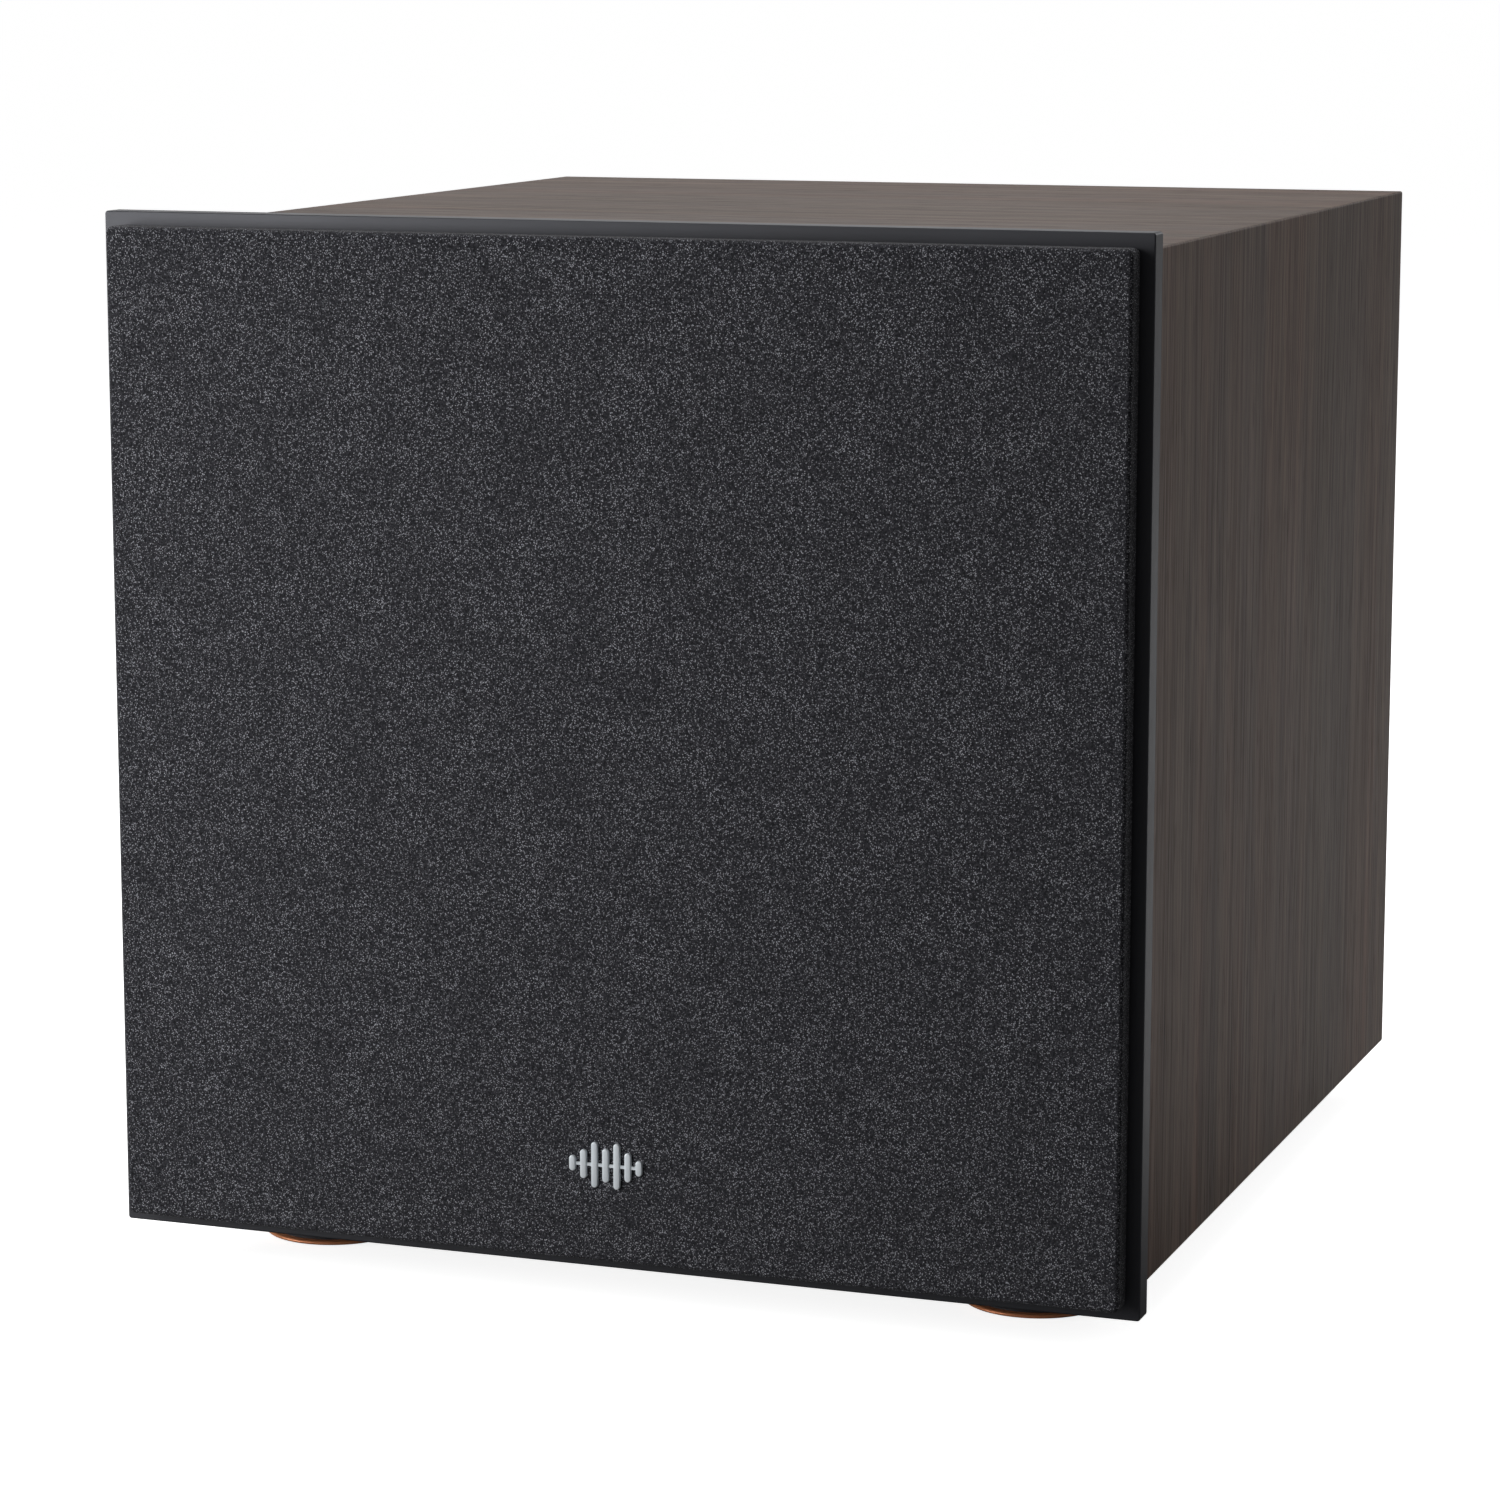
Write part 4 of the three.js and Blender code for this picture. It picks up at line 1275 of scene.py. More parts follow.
SPIDER_CLOTH = FibreFinish(
    "dipped_cloth", "spider_cloth", colour=(0.42, 0.26, 0.06), strand=(0.6, 0.42, 0.14), scale=1200,
)
WADDING = FibreFinish(
    "polyester_wadding", "fibre_wadding", colour=(0.62, 0.61, 0.58), strand=(0.85, 0.84, 0.8),
    scale=150, roughness=0.92, strength=0.9, depth=0.002,
)
LAMP = GlowFinish("status_glow", "light_pipe")


# ---------------------------------------------------------------- assemblies


class Assembly:
    """A group of pieces that are built and dressed together."""

    def place(
        self, piece: Piece, finish: Finish, body: str, *nodes: str,
        smooth: float = 32, keep_flat: bool = False,
    ) -> Piece:
        """Dress a finished piece and let it ride on a body.

        Args:
            piece: the finished piece.
            finish: what it is dressed in.
            body: the body that carries it.
            nodes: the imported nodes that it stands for.
            smooth: the angle in degrees under which its edges are shaded smooth.
            keep_flat: whether broad flat faces keep their own shading beside round edges.

        Returns:
            The same piece.
        """
        hold(piece)
        bpy.ops.object.shade_smooth_by_angle(angle=math.radians(smooth))
        if keep_flat:
            modify(piece, "WEIGHTED_NORMAL", keep_sharp=True, weight=60)
        piece.data.materials.clear()
        piece.data.materials.append(finish.material())
        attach(piece, body)
        if nodes:
            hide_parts(*nodes)
        LOG.info("%s in %s on %s", piece.name, finish.name, body)
        return piece

    @staticmethod
    def dress(finish: Finish, *nodes: str) -> None:
        """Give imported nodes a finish, and leave their shapes as they are.

        Args:
            finish: the finish.
            nodes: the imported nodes.
        """
        for name in nodes:
            node = frame["nodes"][name]
            node.data.materials.clear()
            node.data.materials.append(finish.material())
            LOG.info("%s in %s", name, finish.name)


@dataclass
class Screw:
    """A pan-head screw with a cross recess, made once and copied.

    Args:
        radius: the head's radius.
        height: the head's height.
        _first: the head that the others are copied from.
    """

    radius: float = 3.4 * MM
    height: float = 1.7 * MM
    _first: Piece | None = field(default=None, repr=False)

    def _model(self) -> Piece:
        """The head at the origin, looking along -Y.

        Returns:
            The head.
        """
        r, h = self.radius, self.height
        outline = [(0, 0.4 * h), (r, 0.4 * h), (r, -0.3 * h)]
        outline += arc((r - 0.5 * h, -0.3 * h), 0.5 * h, 0, -70, 4)
        outline += [(0.3 * r, -0.98 * h), (0, -h)]
        head = turned("screw", outline, (0, 0, 0), Axis.Y, 28, closed=False)
        arm, depth = 0.16 * r, 0.45 * h
        for width, rise in ((0.62 * r, arm), (arm, 0.62 * r)):
            tool = block("recess", (-width, -1.5 * h, -rise), (width, depth - h, rise))
            cut(head, tool)
        return head

    def at(self, name: str, place: Point, toward: Axis = Axis.Y, sign: int = -1,
           twist: float = 0.0) -> Piece:
        """A copy whose seat is at a place.

        Args:
            name: the copy's name.
            place: where the head's seat is.
            toward: the axis that the head looks along.
            sign: which way along it, -1 or 1.
            twist: how far the recess is turned, in degrees.

        Returns:
            The copy.
        """
        if self._first is None:
            self._first = self._model()
        look = -toward.along if sign < 0 else toward.along
        turn = Vector((0, -1, 0)).rotation_difference(look).to_matrix().to_4x4()
        spin = Matrix.Rotation(math.radians(twist), 4, "Y")
        return copied(self._first, name, Matrix.Translation(place) @ turn @ spin)

    def put_away(self) -> None:
        """Remove the first screw, which only served as the pattern."""
        if self._first is not None:
            bpy.data.objects.remove(self._first)
            self._first = None


@dataclass
class Cabinet(Assembly):
    """The wrapped box and the satin board on its front.

    Args:
        corner: the radius of the folded corners.
        wall: the thickness of the walls.
        fold: the softness of the rear edges.
        fascia_corner: the radius of the fascia's corners.
        fascia_edge: the radius of its front edges.
        port_hole: the radius of the port's hole.
        opening_rear: the radius of the fascia's opening at its back.
        opening_front: the same at its front.
        cup_hole: the radius of the holes for the cups.
    """

    corner: float = 0.8 * MM
    wall: float = 15 * MM
    fold: float = 0.5 * MM
    fascia_corner: float = 1 * MM
    fascia_edge: float = 0.5 * MM
    port_hole: float = 33.3 * MM
    opening_rear: float = 133 * MM
    opening_front: float = 139.2 * MM
    cup_hole: float = 7.3 * MM

    def build(self) -> None:
        """Build every piece of the box."""
        self._walls()
        self._rear()
        self._fascia()
        self.dress(BAFFLE_PAINT, "baffle_board")
        self.dress(FIBREBOARD, "window_brace")

    def _walls(self) -> None:
        """The top and right walls, and a copy of each turned half round to the other side."""
        left, right = Span.of("left_panel"), Span.of("right_panel")
        floor, roof = Span.of("bottom_panel"), Span.of("top_panel")
        middle = Vector(((left.low.x + right.high.x) / 2, 0, (floor.low.z + roof.high.z) / 2))
        reach, rise = (right.high.x - left.low.x) / 2, (roof.high.z - floor.low.z) / 2
        there = Matrix.Translation(middle)
        half_round = there @ Matrix.Rotation(math.pi, 4, "Y") @ there.inverted()
        top = drawn(
            "top_panel_wrap", self._section(reach, rise), roof.low.y, roof.high.y, Axis.Y, middle,
        )
        side = [(z, -x) for x, z in self._section(rise, reach)]
        side = drawn("right_panel_wrap", side, right.low.y, right.high.y, Axis.Y, middle)
        for piece in (top, side):
            round_edges(piece, lies_at(Axis.Y, roof.high.y), self.fold, 3)
        bottom = copied(top, "bottom_panel_wrap", half_round)
        other = copied(side, "left_panel_wrap", half_round)
        hole = Span.of("port_flange").middle
        cut(bottom, rod(
            "hole", self.port_hole, -0.1, 0.1, (hole.x, hole.y, floor.middle.z), Axis.Z, 64,
        ))
        self.place(top, VINYL_ACROSS, "cabinet", "top_panel", keep_flat=True)
        self.place(side, VINYL_UPRIGHT, "cabinet", "right_panel", keep_flat=True)
        self.place(bottom, VINYL_ACROSS, "cabinet", "bottom_panel", keep_flat=True)
        self.place(other, VINYL_UPRIGHT, "cabinet", "left_panel", keep_flat=True)

    def _section(self, reach: float, rise: float) -> Outline:
        """The section of a mitred wall whose outer corners are half of a fold.

        Args:
            reach: how far the wall reaches to each side of the box's middle.
            rise: how far its outside stands from the middle.

        Returns:
            The outline, with the wall at the top.
        """
        r, wall = self.corner, self.wall
        outline = [(wall - reach, rise - wall)]
        outline += arc((r - reach, rise - r), r, 135, 90, 4)
        outline += arc((reach - r, rise - r), r, 90, 45, 4)
        return [*outline, (reach - wall, rise - wall)]

    def _rear(self) -> None:
        """The back board, with its stepped hole for the amplifier."""
        span, seat = Span.of("rear_panel"), Span.of("amp_gasket")
        plate = Span.of("amp_plate")
        piece = block("rear_panel_wrap", span.low, span.high)
        slack, lap, beyond = 0.3 * MM, 12 * MM, 5 * MM
        centre, wide, tall = (plate.middle.x, plate.middle.z), plate.size.x, plate.size.z
        recess = round_rectangle(wide + 2 * slack, tall + 2 * slack, 3.3 * MM, centre)
        hole = round_rectangle(wide - 2 * lap, tall - 2 * lap, 3 * MM, centre)
        cut(
            piece, drawn("recess", recess, seat.low.y, span.high.y + beyond),
            drawn("hole", hole, span.low.y - beyond, span.high.y),
        )
        round_edges(piece, lies_at(Axis.Y, span.high.y), self.fold, 2)
        self.place(piece, VINYL_UPRIGHT, "cabinet", "rear_panel", keep_flat=True)

    def _fascia(self) -> None:
        """The front board: soft edges, a flared opening and four cup holes."""
        span, cone = Span.of("front_fascia"), Span.of("woofer_cone")
        piece = block("front_fascia_board", span.low, span.high)
        round_edges(piece, runs_along(Axis.Y), self.fascia_corner, 6)
        round_edges(piece, lies_at(Axis.Y, span.low.y), self.fascia_edge, 3)
        round_edges(piece, lies_at(Axis.Y, span.high.y), 0.4 * MM, 2)
        depth = span.size.y
        sweep = self.opening_front - self.opening_rear
        flare = [
            (self.opening_rear + sweep * (1 - math.cos(t * math.pi / 16)),
             depth * (1 - math.sin(t * math.pi / 16)))
            for t in range(9)
        ]
        outline = [(0, depth + MM), (self.opening_rear, depth + MM), *flare]
        outline += [(self.opening_front + MM, -MM), (0, -MM)]
        tool = turned(
            "opening", outline, (cone.middle.x, span.low.y, cone.middle.z), Axis.Y, 128,
            closed=False,
        )
        cut(piece, tool)
        for number in range(1, 5):
            cup = Span.of(f"grille_grommet_{number}").middle
            cut(piece, rod("cup_hole", self.cup_hole, -0.02, 0.02, cup))
        self.place(piece, SATIN_BLACK, "cabinet", "front_fascia", keep_flat=True)


@dataclass
class Grille(Assembly):
    """The pull-off grille: cloth over a frame on four pegs, with a wave badge.

    Args:
        cloth: the cloth's thickness.
        edge: the radius of the front edge under the cloth.
        corner: the radius of the four corners.
        wrap: how far the cloth is turned over the back of the frame.
        opening: the radius of the frame's opening.
        pegs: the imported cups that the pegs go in.
    """

    cloth: float = 0.5 * MM
    edge: float = 1.5 * MM
    corner: float = 2.2 * MM
    wrap: float = 11 * MM
    opening: float = 141 * MM
    pegs: tuple[str, ...] = tuple(f"grille_grommet_{number}" for number in range(1, 5))

    def build(self) -> None:
        """Build the frame, the cloth, the badge and the cups that the pegs go in."""
        frame_piece = self._frame()
        self._cloth(frame_piece)
        self._badge()
        self._cups()

    def _frame(self) -> Piece:
        """The moulded frame, with a round opening and pegs.

        Returns:
            The frame.
        """
        span, cloth = Span.of("grille_frame"), Span.of("grille_cloth")
        back = span.low.y + 7.1 * MM
        piece = block("grille_frame_moulding", span.low, (span.high.x, back, span.high.z))
        round_edges(piece, runs_along(Axis.Y), 2 * MM, 5)
        round_edges(piece, lies_at(Axis.Y, span.low.y), 1.2 * MM, 3)
        r, lip, beyond = self.opening, 2.2 * MM, 30 * MM
        outline = [(0, -beyond), (r + lip, -beyond), (r + lip, -5.4 * MM), (r, lip - 5.4 * MM)]
        outline += [(r, beyond), (0, beyond)]
        tool = turned(
            "opening", outline, (cloth.middle.x, back, cloth.middle.z), Axis.Y, 128, closed=False,
        )
        cut(piece, tool)
        round_edges(piece, lies_at(Axis.Y, back), 0.5 * MM, 2)
        cup, end = Span.of(self.pegs[0]).middle, span.high.y
        foot, stem, neck = 4.6 * MM, 3 * MM, 2.6 * MM
        outline = [(0, back - MM), (foot, back - MM), (foot, back + 0.15 * MM)]
        outline += [(stem, back + 1.2 * MM), (stem, end - 3 * MM), (neck, end - 2.4 * MM)]
        outline += [(stem, end - 1.8 * MM), (2.2 * MM, end - 0.3 * MM), (0, end)]
        peg = turned("peg", outline, (cup.x, 0, cup.z), Axis.Y, 32, closed=False)
        pegs = repeated(peg, ["peg"] * len(self.pegs), self.pegs)
        piece = joined("grille_frame_moulding", [piece, *pegs])
        return self.place(piece, MOULDED_BLACK, "grille", "grille_frame", keep_flat=True)

    def _cloth(self, frame_piece: Piece) -> None:
        """The cloth, pulled round the frame's edges and turned over its back.

        Args:
            frame_piece: the frame that it is stretched on; not used.
        """
        span = Span.of("grille_cloth")
        piece = block("grille_cloth_cover", span.low, span.high)
        round_edges(piece, runs_along(Axis.Y), self.corner, 6)
        round_edges(piece, lies_at(Axis.Y, span.low.y), self.edge, 6)
        round_edges(piece, lies_at(Axis.Y, span.high.y), 0.8 * MM, 3)
        pick(piece, Kind.FACE, looks((0, 1, 0)))
        bpy.ops.mesh.inset(thickness=self.wrap, depth=0)
        bpy.ops.mesh.delete(type="FACE")
        bpy.ops.object.mode_set(mode="OBJECT")
        modify(piece, "SOLIDIFY", thickness=self.cloth, offset=-1, use_rim=True)
        self.place(piece, CLOTH, "grille", "grille_cloth", keep_flat=True)

    def _badge(self) -> None:
        """Upright bars of a sound wave on a thin spine."""
        span = Span.of("grille_badge")
        heights, width = (5, 9.5, 15, 11, 15, 9.5, 5), 2.2 * MM
        pitch = (span.size.x - width) / (len(heights) - 1)
        spine = block(
            "spine", (span.low.x + width / 2, span.low.y + 0.35 * MM, span.middle.z - 0.5 * MM),
            (span.high.x - width / 2, span.high.y, span.middle.z + 0.5 * MM),
        )
        bars: list[Piece] = []
        for i, height in enumerate(heights):
            first = heights.index(height)
            if first < i:
                move = Matrix.Translation(((i - first) * pitch, 0, 0))
                bars.append(copied(bars[first], "bar", move))
                continue
            centre = (span.low.x + width / 2 + i * pitch, span.middle.z)
            outline = round_rectangle(width, height * MM, 0.49 * width, centre, 8)
            bar = drawn("bar", outline, span.low.y, span.high.y)
            bars.append(round_edges(bar, lies_at(Axis.Y, span.low.y), 0.35 * MM, 4))
        piece = joined("wave_badge", [*bars, spine])
        self.place(piece, BADGE_METAL, "grille", "grille_badge")

    def _cups(self) -> None:
        """The four rubber cups in the fascia."""
        fascia, span = Span.of("front_fascia"), Span.of(self.pegs[0])
        centre = (span.middle.x, 0, span.middle.z)
        bore, outer, lip = 3.5 * MM, 7 * MM, 8.6 * MM
        front, seat, end = span.low.y, fascia.low.y, span.high.y
        outline = [(bore, front + MM), (bore + 0.9 * MM, front), (lip - 0.3 * MM, front)]
        outline += [(lip, front + 0.2 * MM), (lip, seat), (outer, seat), (outer, end), (bore, end)]
        cup = turned("peg_cup", outline, centre, Axis.Y, 40)
        names = [f"peg_cup_{number + 1}" for number in range(len(self.pegs))]
        for piece, node in zip(repeated(cup, names, self.pegs), self.pegs):
            self.place(piece, RUBBER, "cabinet", node)


@dataclass
class Driver(Assembly):
    """The woofer: every depth is measured back from the front of the grille.

    Args:
        screws: the pattern for its screws.
        screw_ring: the radius of the circle that they stand on.
        roll_inner: where the surround starts to flex.
        roll_outer: where it stops.
    """

    screws: Screw
    screw_ring: float = 125.2 * MM
    roll_inner: float = 100 * MM
    roll_outer: float = 117.5 * MM

    def __post_init__(self) -> None:
        """Find the driver's axis and where its depths start."""
        self.start = Span.of("grille_cloth").low.y
        cone = Span.of("woofer_cone").middle
        self.centre = Vector((cone.x, self.start, cone.z))

    def _spun(self, name: str, outline: Outline, steps: int = 128, closed: bool = True) -> Piece:
        """A piece turned about the driver's axis.

        Args:
            name: the piece's name.
            outline: its radii and depths, in millimetres.
            steps: the number of sides.
            closed: whether the outline's ends meet.

        Returns:
            The piece.
        """
        metres = [(r * MM, d * MM) for r, d in outline]
        return turned(name, metres, self.centre, Axis.Y, steps, closed)

    def build(self) -> None:
        """Build the moving parts, the trim and the fixings."""
        self._trim()
        self._surround()
        self._cone()
        self._cap()
        self._spider()
        self.dress(BLACK_STEEL, "woofer_basket")
        self.dress(WINDING, "voice_coil")
        self.dress(ZINC, "motor_front_plate", "motor_back_plate")
        self.dress(FERRITE, "motor_magnet")
        self.dress(MOULDED_BLACK, "woofer_terminal")

    def _trim(self) -> None:
        """The rubber trim ring and its screws."""
        outline = [(118.6, 20.2), (124.5, 20.2), (124.5, 21.5), (131, 21.5), (131, 18.6)]
        outline += arc((129.6, 18.4), 1.4, 0, -80, 5)
        outline += [(122, 16.8)] + arc((120.6, 18.6), 1.8, -80, -180, 6) + [(118.6, 19.4)]
        self.place(self._spun("driver_trim_ring", outline), RUBBER, "cabinet", "woofer_trim_ring")
        seat = self.start + 16.9 * MM
        for i in range(8):
            angle = math.radians(22.5 + 45 * i)
            x = self.centre.x + self.screw_ring * math.cos(angle)
            z = self.centre.z + self.screw_ring * math.sin(angle)
            screw = self.screws.at(f"driver_screw_{i + 1}", (x, seat, z), twist=37 * i)
            self.place(screw, BLACK_SCREW, "cabinet")

    def _flex(self, piece: Piece, inner: float, outer: float) -> None:
        """Put a ring's place into its mesh, and work out how much each vertex would follow the cone;
        the share is not kept.

        Args:
            piece: the ring.
            inner: the radius inside which the share is whole.
            outer: the radius outside which the share is nothing.
        """
        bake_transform(piece)
        for vertex in piece.data.vertices:
            away = vertex.co - self.centre
            share = (outer - math.hypot(away.x, away.z)) / (outer - inner)
            share = min(1.0, max(0.0, share))

    def _ring_piece(self, piece: Piece, finish: Finish, node: str) -> None:
        """Dress a ring that flexes, so that it rides on no single body.

        Args:
            piece: the ring.
            finish: what it is dressed in.
            node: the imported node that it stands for.
        """
        hold(piece)
        bpy.ops.object.shade_smooth_by_angle(angle=math.radians(35))
        piece.data.materials.append(finish.material())
        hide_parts(node)
        LOG.info("%s in %s between cabinet and cone", piece.name, finish.name)

    def _surround(self) -> None:
        """The half-roll rubber surround, with its two landings."""
        front = [(94, 20.5), (99.2, 20.5), *arc((108.5, 20.5), 9, 180, 360, 26)[1:-1]]
        front += [(117.8, 20.5), (124, 20.5)]
        rear = [(124, 21.5), (116.6, 21.5), *arc((108.5, 21.5), 8, 360, 180, 26)[1:-1]]
        rear += [(100.4, 21.5), (94, 21.5)]
        piece = self._spun("half_roll_surround", front + rear)
        self._ring_piece(piece, RUBBER, "woofer_surround")
        self._flex(piece, self.roll_inner, self.roll_outer)

    def _cone(self) -> None:
        """The curved paper cone, with three pressed ribs."""
        steps, rim, neck = 40, (94.0, 21.6), (26.8, 68.0)
        front: Outline = [(100, 21.6)]
        for i in range(steps + 1):
            t = i / steps
            radius = rim[0] + (neck[0] - rim[0]) * t
            bow = 2.6 * math.sin(math.pi * t)
            rib = 0.5 * math.exp(-(((t * 5) % 1 - 0.5) / 0.14) ** 2) * (0.15 < t < 0.8)
            front.append((radius, rim[1] + (neck[1] - rim[1]) * t + bow - rib))
        rear = [(r + (0.4 if r > 27 else 0), d + 1.5) for r, d in front[1:]][::-1]
        piece = self._spun("paper_cone", [*front, *rear, (100, 23.1)])
        self.place(piece, PAPER_CONE, "cone", "woofer_cone", smooth=60)

    def _cap(self) -> None:
        """The dust cap: a dome on a narrow glued rim."""
        radius, crest, edge, thickness = 48.5, 36.0, 50.6, 1.2
        rise = edge - crest
        sphere = (radius**2 + rise**2) / (2 * rise)
        reach = math.degrees(math.asin(radius / sphere))
        outer = arc((0, crest + sphere), sphere, -90, -90 + reach, 20)
        inner = arc((0, crest + sphere), sphere - thickness, -90 + reach, -90, 20)
        rim = [(radius + 1.6, edge + 0.3), (radius + 1.8, edge + 0.9), (radius - 0.6, edge + 1.1)]
        piece = self._spun("dust_cap_dome", [(0.0, crest), *outer[1:], *rim, *inner[:-1],
                                             (0.0, crest + thickness)], closed=False)
        self.place(piece, PAPER_CONE, "cone", "woofer_dust_cap", smooth=50)

    def _spider(self) -> None:
        """The corrugated centring disc."""
        waves, steps = 5, 60
        front: Outline = [(26.8, 70.6), (29, 70.6)]
        for i in range(steps + 1):
            t = i / steps
            fade = math.sin(math.pi * t) ** 0.5
            front.append((30 + 31 * t, 71.3 - 0.9 * fade * math.sin(2 * math.pi * waves * t)))
        front += [(63, 72.2), (69.3, 72.2)]
        rear = [(r, d + 0.7) for r, d in front][::-1]
        piece = self._spun("centring_spider", front + rear, 96)
        self._ring_piece(piece, SPIDER_CLOTH, "woofer_spider")
        self._flex(piece, 29 * MM, 63 * MM)


@dataclass
class Port(Assembly):
    """The down-firing port.

    Args:
        screws: the pattern for its screws.
    """

    screws: Screw

    def build(self) -> None:
        """Build the tube, its flange and the flange's screws."""
        tube, flange = Span.of("port_tube"), Span.of("port_flange")
        centre = (flange.middle.x, flange.middle.y, 0)
        low, top = tube.low.z, tube.high.z
        inner, outer, lip = 30 * MM, 33 * MM, tube.size.x / 2
        flare = [(inner + 8 * MM * (1 - math.cos(a)), top - 12 * MM + 11 * MM * math.sin(a))
                 for a in (math.radians(9 * i) for i in range(11))]
        outline = [(inner, low), (outer, low), (outer, top - 14 * MM)]
        outline += [(outer + 2 * MM, top - 8 * MM), (lip - MM, top - 3 * MM), (lip, top - MM)]
        outline += [(lip - 0.6 * MM, top), *flare[::-1]]
        piece = turned("port_tube_moulding", outline, centre, Axis.Z, 72)
        self.place(piece, MOULDED_BLACK, "cabinet", "port_tube", smooth=40)

        rim, bottom, roof = flange.size.x / 2, flange.low.z, flange.high.z
        thick = roof - bottom
        outline = [(inner, roof), (rim, roof)] + arc((rim - thick, roof), thick, 0, -75, 6)
        mouth = [(inner + 5 * MM * (1 - math.cos(a)), roof - 2.2 * MM * math.sin(a))
                 for a in (math.radians(90 - 10 * i) for i in range(9))]
        outline += [(inner + 8 * MM, bottom), *mouth]
        piece = turned("port_flange_ring", outline, centre, Axis.Z, 96)
        self.place(piece, MOULDED_BLACK, "cabinet", "port_flange", smooth=40)
        for i in range(4):
            angle, ring = math.radians(45 + 90 * i), 42.5 * MM
            spot = (centre[0] + ring * math.cos(angle), centre[1] + ring * math.sin(angle),
                    bottom + 0.25 * MM)
            screw = self.screws.at(f"port_screw_{i + 1}", spot, Axis.Z, -1, twist=20 + 51 * i)
            self.place(screw, BLACK_SCREW, "cabinet")


@dataclass
class Amplifier(Assembly):
    """The plate amplifier in the back.

    Args:
        screws: the pattern for the panel's screws.
        ink: how far the printing stands off the panel.
        ribs: the number of ribs round a knob.
        knobs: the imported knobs.
        sliders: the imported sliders.
        jacks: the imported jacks.
        _prints: what is printed so far.
    """

    screws: Screw
    ink: float = 0.06 * MM
    ribs: int = 24
    knobs: tuple[str, str] = ("level_knob", "crossover_knob")
    sliders: tuple[str, str] = ("phase_slider", "mode_slider")
    jacks: tuple[str, str] = ("rca_left", "rca_right")
    _prints: list[Piece] = field(default_factory=list, repr=False)

    def __post_init__(self) -> None:
        """Find the plate and its face."""
        self.plate = Span.of("amp_plate")
        self.face = self.plate.high.y

    def build(self) -> None:
        """Build the panel and all that is on it."""
        self._panel()
        self._knobs()
        self._nibs()
        self._jacks()
        self._lamp()
        self._inlet()
        self._switch()
        self._printing()
        self._inside()

    def _panel(self) -> None:
        """The painted plate, with its holes and screws."""
        span = self.plate
        piece = block("amp_panel", span.low, span.high)
        round_edges(piece, runs_along(Axis.Y), 3 * MM, 5)
        round_edges(piece, lies_at(Axis.Y, span.high.y), 0.5 * MM, 2)
        round_holes = [("level_knob", 4.2), ("crossover_knob", 4.2), ("rca_left", 4.7),
                       ("rca_right", 4.7), ("status_light", 1.9)]
        for node, radius in round_holes:
            middle = Span.of(node).middle
            centre = (middle.x, self.face, middle.z)
            cut(piece, rod("hole", radius * MM, -0.05, 0.05, centre, steps=32))
        slots = [("phase_slider", 9, 5), ("mode_slider", 9, 5), ("mains_inlet", 28, 20.5),
                 ("rocker_housing", 14, 21)]
        for node, width, height in slots:
            middle = Span.of(node).middle
            shift = -2 * MM if node in self.sliders else 0
            outline = round_rectangle(
                width * MM, height * MM, 0.6 * MM, (middle.x + shift, middle.z), 3,
            )
            cut(piece, drawn("slot", outline, self.face - 0.02, self.face + 0.02))
        self.place(piece, PANEL_PAINT, "cabinet", "amp_plate", keep_flat=True)
        across, up = span.size.x / 2 - 6 * MM, span.size.z / 2 - 6 * MM
        spots = [(x, z) for x in (-across, 0, across) for z in (-up, up)]
        spots += [(x, z) for x in (-across, across) for z in (-up / 3, up / 3)]
        for i, (x, z) in enumerate(spots):
            place = (span.middle.x + x, self.face - 0.1 * MM, span.middle.z + z)
            screw = self.screws.at(f"panel_screw_{i + 1}", place, Axis.Y, 1, twist=31 * i)
            self.place(screw, BLACK_SCREW, "cabinet")

    def _knobs(self) -> None:
        """Two ribbed knobs, each with a pale pointer."""
        span = Span.of(self.knobs[0])
        centre = Vector((span.middle.x, 0, span.middle.z))
        base, end = self.face + 0.5 * MM, span.high.y
        shaft, skirt, sides = 2.9 * MM, 9 * MM, 3 * self.ribs
        outline = [(0, span.low.y), (shaft, span.low.y), (shaft, base), (skirt, base)]
        outline += [(skirt, base + 2 * MM), (8.6 * MM, base + 2.6 * MM), (7.7 * MM, base + 3 * MM)]
        outline += [(7.5 * MM, end - 1.4 * MM)]
        outline += arc((6.3 * MM, end - 1.2 * MM), 1.2 * MM, 0, 80, 5)
        outline += [(5 * MM, end), (4.4 * MM, end - 0.4 * MM), (0, end - 0.5 * MM)]
        cap = turned("cap", outline, centre, Axis.Y, sides, closed=False)

        def is_rib(face: bmesh.types.BMFace) -> bool:
            """Whether a face of the grip belongs to a rib.

            Args:
                face: the face.

            Returns:
                True on every third side of the grip.
            """
            middle = face.calc_center_median()
            on_grip = base + 3 * MM < middle.y < end - 1.3 * MM
            angle = math.degrees(math.atan2(middle.z - centre.z, middle.x - centre.x)) % 360
            return on_grip and int(angle / (360 / sides)) % 3 == 0

        pick(cap, Kind.FACE, is_rib)
        bpy.ops.mesh.inset(thickness=0.08 * MM, depth=0.45 * MM, use_individual=True)
        bpy.ops.object.mode_set(mode="OBJECT")
        half = 0.5 * MM
        pointer = block(
            "pointer", (centre.x - half, end - 0.6 * MM, centre.z + 1.5 * MM),
            (centre.x + half, end, centre.z + 6 * MM),
        )
        soften(pointer, 0.15 * MM)
        bodies = ("level_control", "crossover_control")
        caps = repeated(cap, [f"{node}_cap" for node in self.knobs], self.knobs)
        for piece, body, node in zip(caps, bodies, self.knobs):
            self.place(piece, MOULDED_BLACK, body, node, smooth=35)
        pointers = repeated(pointer, [f"{node}_pointer" for node in self.knobs], self.knobs)
        for piece, body in zip(pointers, bodies):
            self.place(piece, PRINTING, body)

